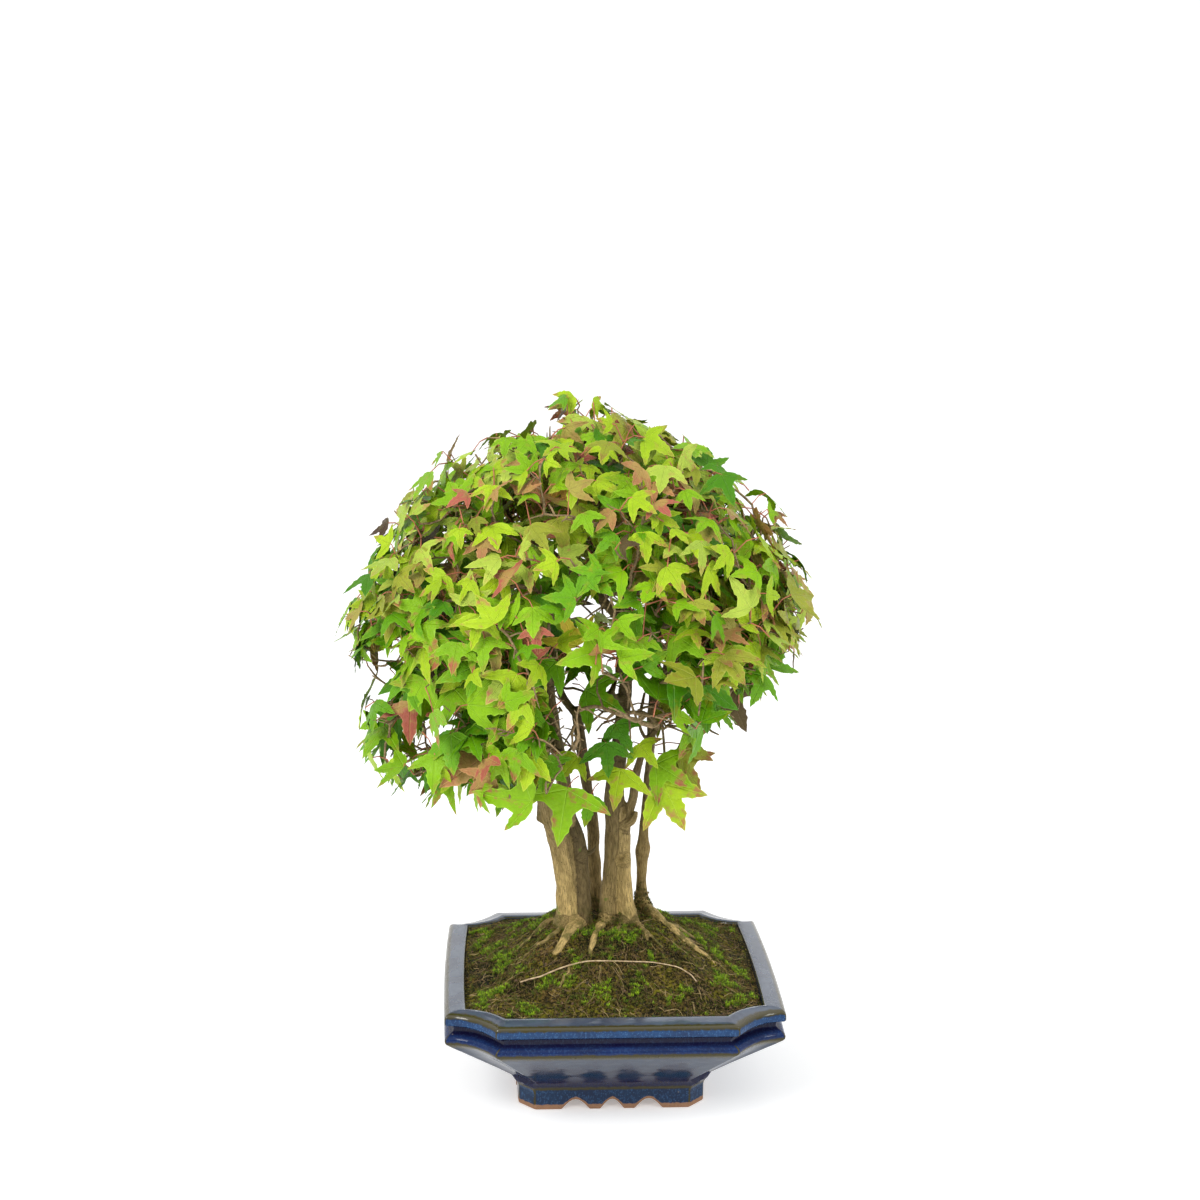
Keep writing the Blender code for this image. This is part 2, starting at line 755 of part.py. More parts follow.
def spray_leaves(tip, along, space, rng, obstacles):
    """The end leaf and the pair behind it, each drooping outwards from the crown.

    A leaf that would leave the mass's space, or touch a limb, another twig or another
    leaf, is tried smaller and smaller and then skipped.
    """
    out = (tip - STAND - CROWN_CENTRE).normalized()
    leaves = []
    for turn, back in LEAF_PLACES:
        up = (out + Vector((0, 0, LEAF_FACING))).normalized()
        way = Matrix.Rotation(turn + rng.uniform(-LEAF_SPREAD, LEAF_SPREAD), 3, up) @ along
        way = way + out * LEAF_OUTWARD - Vector((0, 0, rng.uniform(*LEAF_DROOP)))
        way.normalize()
        tilt = Vector([rng.uniform(-LEAF_TILT, LEAF_TILT) for _ in range(3)])
        up = (up + tilt).normalized()
        length = rng.uniform(*LEAF_LENGTH)
        for shrink in LEAF_SHRINKS:
            leaf = leaf_piece(tip - along * back, way, up, length * shrink)
            if not fits(leaf, space, obstacles[0]):
                continue
            if tree_of([leaf]).overlap(tree_of(obstacles[1] + leaves)):
                continue
            leaves.append(leaf)
            break
    return leaves


def grow_mass(space, stem_radius, limbs, rng):
    """Stem, twigs and leaves of one mass, as a list of closed pieces."""
    knee = space.start + space.along * STEM_KNEE
    points = [space.start, knee, space.heart]
    rings = tube_rings(points, [stem_radius, stem_radius, STEM_END_RADIUS], TWIG_SIDES)
    stem = [point for ring in rings for point in ring], loft_faces(len(rings), TWIG_SIDES)
    nodes = [knee.lerp(space.heart, share) for share in STEM_NODES]
    targets = even_targets(space, rng, SPRAYS)
    targets.sort(key=lambda point: (point - space.start).length)
    twigs = []
    for target in targets:
        origin = min(nodes, key=lambda node: (node - target).length)
        twig = twig_piece(origin, target, *TWIG_RADIUS)
        if (target - origin).length > SHORTEST_TWIG and fits(twig, space, limbs):
            twigs.append((twig, origin, target))
            nodes.extend((origin.lerp(target, 0.5), target))
    leaves = []
    for twig, origin, target in twigs:
        along = (target - origin).normalized()
        others = [piece for piece, _, _ in twigs if piece is not twig]
        leaves += spray_leaves(target, along, space, rng, (limbs, others + leaves))
        if (target - origin).length > LONG_TWIG:
            middle = origin.lerp(target, 0.5)
            leaves += spray_leaves(middle, along, space, rng, (limbs, others + leaves))
    return [stem] + [piece for piece, _, _ in twigs] + leaves


def make_mass(name, space, stem_radius, limbs):
    rng = random.Random(SEED + sorted(MASSES).index(name))
    pieces = grow_mass(space, stem_radius, limbs, rng)
    mass = mesh_object(name, *pieces[0])
    others = [mesh_object("piece", *piece) for piece in pieces[1:]]
    combine(mass, others, "UNION", "MANIFOLD")
    keep_largest_shell(mass)
    return mass


def limb_tip(name):
    """A limb's end, the way its end face looks, and its radius there."""
    rings = limb_rings(name)
    centres = [sum(ring, Vector()) / len(ring) for ring in rings[-2:]]
    radius = (rings[-1][0] - centres[1]).length
    along = Vector((0, 0, 1)) if name in TRUNKS else (centres[1] - centres[0]).normalized()
    return centres[1], along, radius


def main():
    clear_scene()
    items = {"pot": (make_pot(), "pot"), "soil": (make_soil(), "soil")}
    for name in TRUNKS:
        items[name] = (make_trunk(name), "bark")
    for name in BOUGHS:
        items[name] = (make_bough(name), "bark")
    ground = tree_of([piece_of(items["soil"][0])])
    for name in ROOTS:
        items[name] = (make_root(name, ground), "bark")
    limb_pieces = []
    for name in list(TRUNKS) + list(BOUGHS):
        rings = limb_rings(name, SWELL)
        limb_pieces.append((
            [point for ring in rings for point in ring], loft_faces(len(rings), len(rings[0])),
        ))
    limbs = tree_of(limb_pieces)
    spines = {}
    radii = {}
    for name, (carrier, heart, _) in MASSES.items():
        tip, along, radii[name] = limb_tip(carrier)
        spines[name] = (tip + along * GAP, STAND + Vector(heart) * MM, along)
    for name in MASSES:
        mass = make_mass(name, MassSpace(name, spines), radii[name], limbs)
        items[name] = (mass, "foliage")
    for name, (item, kind) in items.items():
        item.data.materials.clear()
        item.data.materials.append(finish_material(name + "_finish", kind))


main()
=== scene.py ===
"""Potted trident maple: a bonsai clump in a glazed pot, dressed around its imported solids.

Each operator makes one piece or one group of like pieces.  Limbs, twigs and leaves grow
by the same rule as the solids do, and are carried further out to finer twigs.
"""
import math
import random

import bmesh
import bpy
import numpy as np
from bpy.props import FloatProperty, FloatVectorProperty, IntProperty, PointerProperty
from mathutils import Matrix, Vector, noise
from mathutils.bvhtree import BVHTree
from mathutils.kdtree import KDTree


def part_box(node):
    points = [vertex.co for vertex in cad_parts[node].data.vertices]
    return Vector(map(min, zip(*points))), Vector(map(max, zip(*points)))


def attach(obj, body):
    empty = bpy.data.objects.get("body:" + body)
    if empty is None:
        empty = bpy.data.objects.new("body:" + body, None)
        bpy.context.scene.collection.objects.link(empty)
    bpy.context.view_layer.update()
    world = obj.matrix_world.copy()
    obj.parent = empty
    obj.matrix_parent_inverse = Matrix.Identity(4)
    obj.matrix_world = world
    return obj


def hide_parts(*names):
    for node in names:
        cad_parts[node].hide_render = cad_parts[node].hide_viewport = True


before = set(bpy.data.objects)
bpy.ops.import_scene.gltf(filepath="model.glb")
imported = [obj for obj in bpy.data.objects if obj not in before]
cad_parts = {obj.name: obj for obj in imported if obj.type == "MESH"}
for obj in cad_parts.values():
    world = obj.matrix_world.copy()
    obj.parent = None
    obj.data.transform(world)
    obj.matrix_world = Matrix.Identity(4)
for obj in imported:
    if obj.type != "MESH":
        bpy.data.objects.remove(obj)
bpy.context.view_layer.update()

bl_info = {
    "name": "Potted Trident Maple",
    "version": (1, 0, 0),
    "blender": (4, 5, 0),
    "location": "View3D > Sidebar > Maple",
    "description": "Builds a bonsai maple clump in a glazed pot with notched corners",
    "category": "Add Mesh",
}

MM = 0.001
FULL_TURN = 6.3
POT_LOW, POT_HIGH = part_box("pot")
STAND = Vector(((POT_LOW.x + POT_HIGH.x) / 2, (POT_LOW.y + POT_HIGH.y) / 2, 0.0))
SOIL_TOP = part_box("soil")[1].z
NODES = sorted(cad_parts)

# ---- pot sizes, millimetres
POT_WIDTH = 281
POT_DEPTH = 252
SIDE_BOW = 2  # how far the left and right sides swell
NOTCH_STEPS = 10
TIP_STEPS = 4
SIDE_STEPS = 8
RIM = (41.8, 26.8, 2.3)  # notch: along the front, along the side, curve power
INNER = (33.5, 19.4, 2)
BODY = (20, 16, 1.3)
FOOT = (13.2, 13.2, 1)
# Height, inset from the rim's outline, notch, finish, share of the glaze's thin edge.
POT_PROFILE = (
    (12, 70.5, FOOT, "clay", 0), (0.6, 70.5, FOOT, "clay", 0),
    (0, 69.8, FOOT, "clay", 0), (0, 62.3, FOOT, "clay", 0),
    (0.7, 61.6, FOOT, "clay", 0), (4.5, 61.5, FOOT, "foot", 0.2),
    (10, 61.5, FOOT, "foot", 0), (15.2, 61.5, FOOT, "foot", 0),
    (17.2, 61.2, FOOT, "foot", 0.25), (19.4, 60.3, FOOT, "slope", 0.95),
    # From 21 to 28 mm up, the slope's lower curve takes the groove's dark glaze: painted shade for the pot's
    # shadow seen in the glaze there.
    (21, 59.5, FOOT, "groove", 0.6), (23.6, 58, FOOT, "groove", 0.1),
    (28, 55.2, BODY, "groove", 0), (40, 42, (25.5, 18.7, 1.55), "slope", 0),
    (52, 28.5, (30.9, 21.4, 1.8), "slope", 0), (64, 15, (36.4, 24.1, 2.05), "slope", 0),
    (71, 7, (39.5, 25.7, 2.2), "slope", 0.25), (74.4, 3.2, RIM, "slope", 0.8),
    (76.2, 1.4, RIM, "flange", 1), (78, 0.35, RIM, "flange", 0.95),
    (80, 0, RIM, "flange", 0.3), (82.2, 0.7, RIM, "flange", 0),
    (83.8, 2.5, RIM, "flange", 0), (84.7, 4.9, RIM, "groove", 0),
    (85.8, 6.6, RIM, "groove", 0), (87.6, 7.1, RIM, "groove", 0),
    (90.2, 6.7, RIM, "groove", 0), (91.6, 5.2, RIM, "groove", 0),
    (92.6, 2.6, RIM, "face", 0.2), (93.5, 0.8, RIM, "face", 0.15),
    (94.8, 0, RIM, "face", 0), (98, 0, RIM, "face", 0),
    (100, 0.3, RIM, "face", 0.7), (101.7, 1.1, RIM, "rim", 1),
    (102.8, 2.5, RIM, "rim", 1), (103.4, 4.2, RIM, "rim", 0.5),
    (103.9, 6.5, RIM, "rim", 0), (104.5, 11.5, (37.6, 23.1, 2.15), "rim", 0),
    (104.8, 14.6, INNER, "rim", 0), (104.6, 16.3, INNER, "rim", 0.35),
    (103.8, 17.2, INNER, "rim", 0.85), (102.4, 17.6, INNER, "slope", 0.3),
    (98, 17.8, INNER, "slope", 0), (72, 20, INNER, "clay", 0),
    (30, 66, INNER, "clay", 0), (22, 69, INNER, "clay", 0),
)
SPECKLED = {"face": 1, "foot": 0.9, "flange": 0.35, "groove": 0.2, "slope": 0.08}
ARCHES = ((-31, 12.6, 9.4), (0, 10.6, 9.2), (31, 12.6, 9.4))
# An arch's outline: share of its half width, share of its height.
ARCH_LINE = (
    (1.12, -0.4), (1, 0), (0.90, 0.12), (0.74, 0.36), (0.57, 0.60), (0.40, 0.80),
    (0.21, 0.95), (0, 1),
)

# ---- soil
SOIL_EDGE = 99.5
SOIL_BACK = 3.4  # how much higher the soil's edge is at the back
BACK_HALF = 40  # the edge rises over this distance to both sides of the middle
SOIL_INSET = 17.9
MOUND_CENTRE = (-2, 8)
MOUND_HALF = (49, 36)
MOUND_FALL = 1.75  # how soon the soil flattens out below the trunks
SOIL_RINGS = 44
MOSS_SPOTS = (
    (-98, 62, 18), (-72, 50, 24), (-104, 22, 18), (-60, 20, 26), (-84, -14, 24),
    (8, -24, 24), (-16, -14, 16), (40, 40, 20), (70, 52, 20), (82, 8, 20),
    (112, 70, 14), (112, -28, 14), (104, -70, 14), (-72, -86, 14), (-30, -62, 18),
    (14, -70, 18), (58, 24, 18), (26, 62, 20), (-30, 70, 26), (-100, -60, 16),
    (-36, -18, 10), (22, -12, 10), (-14, 8, 12), (34, 36, 12), (48, -84, 12), (96, -50, 14),
)
MOSSY_FEET = ((-13, 0, 13), (6, -5, 7), (31, 38, 17), (24, 16, 14), (-12, 22, 15))  # x, y, radius
MOSS_HALF, CRUMB_HALF = (124, 109), (122, 107)  # how far out they are tried, along and across
MOSS_TRIES = 200000
MOSS_CLIMB = 24  # how high it climbs, millimetres
# Small things on the soil: their two tones.
MOSSES = {
    "moss_fresh": ((0.340, 0.520, 0.006), (0.130, 0.260, 0.004)),
    "moss_green": ((0.150, 0.185, 0.006), (0.060, 0.095, 0.004)),
    "moss_olive": ((0.220, 0.150, 0.024), (0.060, 0.048, 0.008)),
}
ROOTLETS = {
    "rootlets_pale": ((0.450, 0.330, 0.140), (0.260, 0.180, 0.075)),
    "rootlets_brown": ((0.190, 0.120, 0.045), (0.090, 0.055, 0.022)),
}
CRUMBS = {
    "crumbs_dark": ((0.045, 0.034, 0.015), (0.022, 0.018, 0.008)),
    "crumbs_brown": ((0.165, 0.090, 0.050), (0.090, 0.055, 0.030)),
}
STRAW = ((0.68, 0.52, 0.31), (0.40, 0.27, 0.15))
DRY_STEM = ((-78, -59), (-57, -58), (-36, -51), (-20, -49), (13, -50), (53, -51), (69, -66))

# ---- limbs, millimetres
# Stems: height over the soil, x, y, radius.  Where two or three lie side by side they
# grow into one trunk.
STEMS = {
    "left_outer": (
        (-14, -36, -2, 13.4), (0, -36, -2, 12.4), (14, -36, -2, 10.7), (37, -37, -2, 10.3),
        (73, -43.5, -5, 9.6), (98, -51.5, -9, 8.8), (118, -55.5, -11, 8.3),
    ),
    "left_inner": (
        (-14, -22.5, 0, 10.6), (2, -23, 0, 8.8), (15, -23.6, 0, 7.6), (37, -24.4, -1, 7.4),
        (73, -29.3, -2, 7.9), (96, -36, -2, 7.2), (120, -39.5, 0, 6.8),
    ),
    "left_core": ((-14, -31, 1, 11), (20, -31, 1, 8.6), (52, -33, -1, 7.6), (80, -37.5, -3, 6)),
    "rear": (
        (-18, -8, 36, 8.8), (2, -9, 36, 7.2), (18, -10.5, 36, 6.2), (40, -12, 36.5, 6.4),
        (52, -12.4, 36.6, 5.5), (76, -13.5, 37, 5.5), (118, -20, 41, 4.8), (180, -28.5, 46, 5),
    ),
    "main_left": (
        (-14, -1, 6, 10.8), (3, -1, 6, 9.4), (16, -0.6, 6, 8.3), (33, 0.9, 6, 8),
        (60, 3, 6, 8.4), (83, 3.6, 6.5, 8.7), (113, 3, 7, 8.8), (146, 5.6, 8, 7.6),
        (178, 9, 9, 6.6), (220, 12, 10, 5.6), (252, 12, 10, 5.9), (284, 9.5, 9, 5.2),
        (340, 0, 7, 3.6),
    ),
    "main_right": (
        (-14, 17, 2, 10.2), (4, 15.6, 2, 8.6), (16, 13.8, 2.5, 7.6), (33, 11.6, 3.5, 7.2),
        (60, 11, 4.5, 7.2), (83, 11, 6, 6.8), (98, 12, 5.5, 4.8),
    ),
    "right": (
        (-18, 31, 45, 9), (1, 31, 45, 7.2), (14, 30.5, 45, 5.2), (34, 31, 45, 4.9),
        (45, 31, 45, 6.2), (52, 31.6, 45, 6.3), (62, 31.8, 45, 4.9), (102, 34.5, 44, 4),
        (150, 36.8, 43.3, 4.1), (172, 37.5, 43, 4.3), (196, 40.5, 42.4, 6), (208, 42.6, 42, 6.6),
        (214, 43.2, 42, 5.2),
    ),
}
LIMB_TONES_AND_SHADE = (0, 0.9, 0.45, 0.55, 0.5, 0, 0.36)  # how dark each stem's bark is: partly its own tone and moss, partly painted shade, as on the left trunk's shaded inner stem
TRUNK_AXES = {  # the trunks' own axes, which boughs start from
    "trunk_left": ((0, -31, -2), (12, -32, -2), (37, -32.5, -2), (73, -37, -4), (102, -45, -6)),
    "trunk_rear": ((0, -8, 36), (18, -10.5, 36), (76, -13.5, 37), (118, -20, 41), (180, -28.5, 46)),
    "trunk_main": (
        (0, 7.5, 5), (16, 6.5, 5), (33, 5.5, 5), (83, 5.5, 6), (113, 3, 7), (178, 9, 9),
        (220, 12, 10), (284, 9.5, 9), (340, 0, 7),
    ),
    "trunk_right": (
        (0, 31, 45), (14, 30.5, 45), (57, 31.5, 45), (102, 34.5, 44), (172, 37.5, 43), (212, 43, 42),
    ),
}
# Boughs: carrier, height where it leaves the carrier, its own x there or None, radius at
# both ends, and the stations that it passes (x, y, height over the soil).
BOUGHS = {
    "bough_left": (
        "trunk_left", 96, -54, 8.2, 3.4,
        ((-57.5, -12, 135), (-64, -20, 164), (-79, -28, 189), (-104, -34, 200), (-128, -36, 205)),
    ),
    "bough_left_inner": (
        "trunk_left", 94, -37.2, 7, 3,
        ((-40, 0, 125), (-45.5, 0, 155), (-50, -4, 188), (-57, -18, 228), (-72, -46, 266)),
    ),
    "bough_left_front": ("bough_left", 152, None, 3.6, 2.4, ((-68, -40, 166), (-84, -64, 178))),
    "bough_left_high": (
        "bough_left_inner", 214, None, 3.4, 2.6, ((-68, -6, 236), (-98, -4, 258), (-132, -4, 276)),
    ),
    "bough_left_rear": (
        "trunk_rear", 176, -31, 3.6, 2.4,
        ((-42, 52, 192), (-46, 58, 214), (-54, 74, 246), (-70, 88, 268)),
    ),
    "bough_left_back": ("bough_left_rear", 202, None, 2.8, 2.2, ((-62, 64, 206), (-88, 64, 200))),
    "bough_rear": ("trunk_rear", 176, -25, 3.4, 2.4, ((-12, 54, 187), (2, 64, 187), (8, 82, 196))),
    "bough_centre": ("bough_left_inner", 146, None, 2.8, 2, ((-46, -16, 157), (-48, -42, 154))),
    "bough_front_low": ("trunk_main", 176, None, 3, 2.2, ((10, -14, 190), (8, -42, 198))),
    "bough_front": ("trunk_main", 268, None, 4.2, 2.8, ((4, -22, 300), (-10, -58, 330))),
    "bough_upper_left": (
        "trunk_main", 262, None, 4.6, 3, ((-18, 8, 292), (-50, 6, 322), (-78, 4, 344)),
    ),
    "bough_back": ("trunk_main", 290, None, 4, 2.8, ((4, 36, 316), (-8, 78, 340))),
    "bough_upper_right": (
        "trunk_main", 280, None, 4.4, 3, ((22, 12, 296), (53, 12, 320), (64, 6, 344)),
    ),
    "bough_right": (
        "trunk_main", 246, None, 4.2, 2.6,
        ((32, 6, 257), (53, 2, 268), (80, -6, 279), (100, -10, 287)),
    ),
    "bough_right_front": ("trunk_main", 230, None, 3.6, 2.6, ((28, -18, 246), (50, -52, 262))),
    "bough_inner": (
        "trunk_main", 82, 12, 4.6, 2.4,
        ((18.5, 4, 110), (21, 0, 134), (27, -6, 158), (36, -14, 178)),
    ),
    "bough_right_low": (
        "trunk_right", 204, 45, 4.8, 3, ((60, 40, 238), (76, 40, 250), (96, 44, 252)),
    ),
    "bough_right_back": ("trunk_right", 204, 42, 4, 2.6, ((42, 62, 236), (56, 86, 256))),
    "bough_right_spur": ("trunk_right", 182, None, 2.8, 1.8, ((50, 40, 187), (64, 32, 190))),
}
# Stubs and spurs: x, y, height over the soil and radius, from root to tip.
STUBS = (
    ((-24, -4, 63, 2.6), (-18.5, -5, 65, 2), (-14.5, -5.5, 68, 1.5), (-12.8, -5.6, 72, 1.1)),
    ((14, 2, 88, 3.4), (18.5, 0, 92, 3.2), (20.5, -0.5, 97, 2.6), (21.2, -0.6, 101, 1.8)),
    ((12, -1, 57, 4.4), (13.5, -4, 58, 4.6), (14.2, -6.2, 58.6, 3.6)),
    ((36, 43, 150, 2.4), (30, 40, 156, 1.8), (26, 38, 170, 1.6), (30, 36, 196, 1.5)),
    ((40, 43, 192, 3.6), (47, 41, 196, 3.6), (50.5, 40, 197, 2.8)),
    ((6, 6, 150, 3.6), (-2, 0, 156, 2.4), (-6, -4, 160, 1.8)),
    ((12, 9, 214, 3.4), (19, 2, 220, 2.2), (24, -2, 222, 1.5)),
    ((9, 8, 196, 3.2), (2, 0, 202, 2), (0, -4, 210, 1.4)),
)
STUB_TONES = (0.9, 0.2, 0, 0.4, 0.4, 0.4, 0.4, 0.4)
# A hole pushed into the trunk and painted dark as painted shade.
KNOT_HOLE = (14.4, -9.6, 58.8)
# Surface roots: radius at both ends, and the stations (x, y) on the soil.
ROOTS = (
    (6.4, 2.2, ((31, 42), (34, 30), (40, 13), (46, 2), (58, -5), (70, -9), (81, -13), (90, -21))),
    (7.4, 2.6, ((-28, -6), (-31, -15), (-38, -24), (-48, -36))),
    (5.2, 2, ((-5, -1), (-9, -10), (-13, -24), (-19, -41))),
    (3.2, 1.3, ((22, 4), (25, -8), (28, -20), (31, -30))),
    (2, 0.9, ((29, -20), (36, -27), (44, -33))),
    (3, 1.1, ((9, -5), (7, -18), (10, -30))),
    (2.6, 1, ((66, -8), (76, 2), (88, 6))),
    (3, 1, ((-40, 2), (-54, 5), (-68, 0), (-82, -8))),
    (3.6, 1.2, ((-12, 38), (-20, 54), (-34, 64))),
    (3.6, 1.2, ((33, 48), (44, 60), (58, 66))),
    (2.6, 1, ((52, 0), (60, 8), (72, 10), (86, 20))),
    (2.4, 1, ((-40, -12), (-54, -20), (-68, -22), (-84, -34))),
    (1.8, 0.9, ((-36, -52), (-42, -62), (-46, -70))),
    (1.6, 0.9, ((-10, -52), (-12, -62), (-9, -72))),
)

# ---- crown, millimetres
# Foliage masses: the limb whose tip carries it, its heart (x, y, height over the
# ground), for those that hang below the crown the radius of the ball around it, and its
# share of shoots.
MASSES = {
    "top": ("trunk_main", (-24, 13, 552), None, 1),
    "top_right": ("bough_upper_right", (64, -1, 535), None, 1),
    "top_left": ("bough_upper_left", (-112, 5, 525), None, 1),
    "top_back": ("bough_back", (-26, 115, 512), None, 1),
    "top_front": ("bough_front", (-22, -93, 508), None, 1),
    "right": ("bough_right", (132, -9, 450), None, 1),
    "right_front": ("bough_right_front", (74, -89, 425), None, 1),
    "right_low": ("bough_right_low", (128, 51, 388), None, 0.9),
    "right_back": ("bough_right_back", (72, 117, 430), None, 1),
    "left_back": ("bough_left_rear", (-108, 111, 430), None, 1),
    "left": ("bough_left_high", (-182, -1, 440), None, 1),
    "left_front": ("bough_left_inner", (-112, -91, 425), None, 1),
    "left_low": ("bough_left", (-172, -21, 332), None, 1),
    "low_front": ("bough_left_front", (-104, -83, 310), None, 0.9),
    "low_back": ("bough_left_back", (-124, 73, 318), None, 0.9),
    "rear": ("bough_rear", (14, 111, 345), None, 0.6),
    "centre": ("bough_centre", (-48, -57, 268), 66, 0.25),
    "front_low": ("bough_front_low", (10, -75, 330), None, 0.55),
    "spray_low": ("bough_inner", (44, -19, 282), 66, 0.2),
    "spray_right": ("bough_right_spur", (84, 13, 322), None, 0.3),
}
CROWN_CENTRE = STAND + Vector((-27.5, 17, 405)) * MM
CROWN_HALF = (206 * MM, 184 * MM, 202 * MM)
CROWN_DROP_LEFT = 185 * MM
CROWN_DROP_RIGHT = 115 * MM
DROP_TURN = 130 * MM
DROP_POWER = 3
MASS_MARGIN = 1.2 * MM
MASS_REACH = 130 * MM
STEM_KNEE = 8 * MM
TOP_RADIUS = 3.4 * MM  # of the stem that the top mass grows from
STEM_NODES = (0.12, 0.3, 0.5, 0.7, 0.86, 1)
# Sky shows through the crown here: x and height where y is 0, radius.
WINDOWS = (
    (20, 240, 9), (21, 188, 9), (-156, 309, 10), (-148, 313, 7), (48, 297, 8), (19, 352, 9),
    (-187, 383, 9), (-20, 326, 7), (-155, 536, 7), (-186, 366, 6), (-10, 241, 7), (109, 510, 6),
    (-23, 223, 7), (29, 347, 6), (-59, 499, 6), (-19, 315, 6), (-22, 420, 6), (22, 369, 5),
    (66, 354, 5), (-26, 586, 5), (132, 482, 5), (-28, 464, 5), (-82, 277, 5), (-109, 552, 5),
    (-116, 302, 5), (-34, 273, 5), (-86, 500, 5), (-192, 438, 5), (-9, 332, 5), (-37, 316, 5),
    (-222, 364, 13), (-206, 352, 9), (-238, 370, 12), (-59, 570, 10),
)
LOW_LINE, LOW_DEPTH = 0.42, 0.16  # below this height leaves grow longer and hang more, metres
TOP_LINE, TOP_DEPTH, TOP_SHRINK = 0.40, 0.12, 0.24  # above this one they grow shorter
AUTUMN_LINE = 0.38  # above this one they have turned more
STALKS = (9, 26)  # length of the leaf stalks, millimetres
LEAF_SPOTS = ((0.1, 0), (0.45, 0), (0.95, 0), (0.4, 0.55), (0.4, -0.55))  # tried for windows
# Few leaves grow here, in front of the trunks: x from and to, height from and to, share kept.
CLEARINGS = (
    (-50, 48, 200, 350, 0), (-42, 46, 350, 425, 0.3), (60, 130, 250, 345, 0.25),
    (-198, -100, 318, 352, 0.4),
)
SIGHT = (0.0596, 0.226)  # shift along x and z for each step back from the front

# A leaf's side lobe, from the leaf's foot round its tip to the hollow beside the middle
# lobe: along the lobe, across it towards the leaf's base, and the rib point it folds from.
SIDE_LOBE = (
    (0.03, 0.060, 0), (0.14, 0.140, 0), (0.27, 0.186, 1), (0.39, 0.172, 1), (0.48, 0.190, 1),
    (0.58, 0.142, 2), (0.68, 0.142, 2), (0.77, 0.084, 2), (0.86, 0.062, 2), (1.00, 0.000, 2),
    (0.85, -0.074, 2), (0.76, -0.092, 2), (0.67, -0.142, 2), (0.57, -0.142, 1), (0.47, -0.176, 1),
)
# The middle lobe's right edge, from the hollow to the tip: x, y, rib point.
MIDDLE_LOBE = (
    (0.205, 0.405, 3), (0.184, 0.475, 3), (0.214, 0.560, 3), (0.168, 0.640, 4), (0.172, 0.720, 4),
    (0.104, 0.805, 4), (0.082, 0.875, 4), (0.000, 1.020, 4),
)
LOBE_RIBS = (0.36, 0.62)  # rib points along each lobe
# Leaf forms: the side lobes' angle from the middle one in degrees, the length of the right
# and the left one, the lobes' width, how far the tip and the side lobes droop, how deep the
# blade folds at its ribs, and its twist.
LEAF_FORMS = (
    (56, 0.98, 0.92, 0.94, 0.14, 0.10, 0.10, 0.10), (62, 0.90, 0.98, 0.86, 0.30, 0.20, 0.06, -0.20),
    (50, 1.00, 0.96, 1.04, 0.02, 0.05, 0.15, 0.16), (68, 0.92, 0.84, 0.88, 0.22, 0.26, 0.08, -0.10),
    (57, 0.96, 1.02, 0.80, 0.44, 0.30, 0.05, 0.25), (51, 0.82, 0.90, 1.10, -0.10, 0.16, 0.13, -0.28),
    (64, 0.86, 0.78, 0.98, 0.52, 0.14, 0.08, 0.15), (48, 0.90, 0.96, 0.90, 0.20, 0.40, 0.07, 0.00),
)
EVEN_FORM = (60, 1, 1, 1)  # the form that a leaf's own map is drawn on
# Leaf finishes: base colour, share of the sprays, and the colour of blushed lobe tips.
LEAF_FINISHES = {
    "mid": ((0.155, 0.385, 0.003), 0.21, (0.270, 0.310, 0.012)),
    "bright": ((0.265, 0.500, 0.004), 0.26, (0.380, 0.110, 0.060)),
    "lime": ((0.420, 0.590, 0.012), 0.20, (0.420, 0.190, 0.070)),
    # pale: leaves in the whitish colour of the sheen on lit leaves, a painted highlight.
    "pale": ((0.470, 0.590, 0.070), 0.07, (0.460, 0.170, 0.095)),
    "deep": ((0.080, 0.262, 0.002), 0.10, (0.180, 0.215, 0.010)),
    "olive": ((0.340, 0.360, 0.030), 0.07, (0.260, 0.075, 0.040)),
    "bronze": ((0.430, 0.360, 0.070), 0.050, (0.330, 0.150, 0.065)),
    "rose": ((0.500, 0.300, 0.090), 0.075, (0.400, 0.100, 0.070)),
    "yellow": ((0.660, 0.600, 0.035), 0.015, (0.540, 0.270, 0.050)),
    "dry": ((0.120, 0.078, 0.026), 0.010, (0.055, 0.030, 0.013)),
}
STRAY = ("bronze", "rose", "yellow", "dry")  # seldom a whole spray
BLUSH_SHARE = 0.36  # of the leaves whose lobe tips have turned
# Low leaves that hang below the crown: finish, blushed, form, then x, y and height of the
# blade's foot, of its tip and of the stalk's start.
LOW_LEAVES = (
    ("bright", True, 3, (-42, -96, 295), (-50, -102, 248), (-32, -84, 302)),
    ("mid", True, 0, (-21, -60, 277), (-26, -66, 252), (-14, -48, 284)),
    ("deep", False, 1, (-1, -58, 338), (13, -66, 315), (-10, -46, 336)),
    ("deep", False, 0, (-9, -62, 323), (-7, -69, 295), (-15, -50, 323)),
    ("lime", True, 3, (19, -56, 320), (34, -64, 302), (10, -44, 316)),
    ("lime", False, 0, (-32, -60, 311), (-47, -68, 294), (-24, -48, 314)),
    ("mid", False, 2, (-61, -84, 314), (-42, -92, 299), (-47, -72, 318)),
    ("lime", True, 1, (3, -62, 300), (-4, -70, 267), (14, -50, 295)),
    ("bright", True, 0, (34, -40, 298), (65, -48, 280), (26, -28, 300)),
    ("lime", True, 2, (40, -44, 282), (58, -52, 244), (30, -32, 289)),
    ("olive", True, 0, (56, -20, 309), (83, -28, 297), (36, -8, 304)),
    ("olive", True, 1, (54, -24, 298), (75, -32, 270), (38, -12, 298)),
    ("dry", False, 6, (98, 10, 345), (116, 2, 312), (95, 22, 348)),
    ("olive", True, 3, (40, 0, 336), (66, -8, 325), (33, 12, 336)),
    ("mid", True, 0, (-26, -60, 367), (6, -68, 350), (-36, -48, 369)),
    ("lime", True, 2, (83, -30, 358), (68, -38, 342), (90, -18, 367)),
)
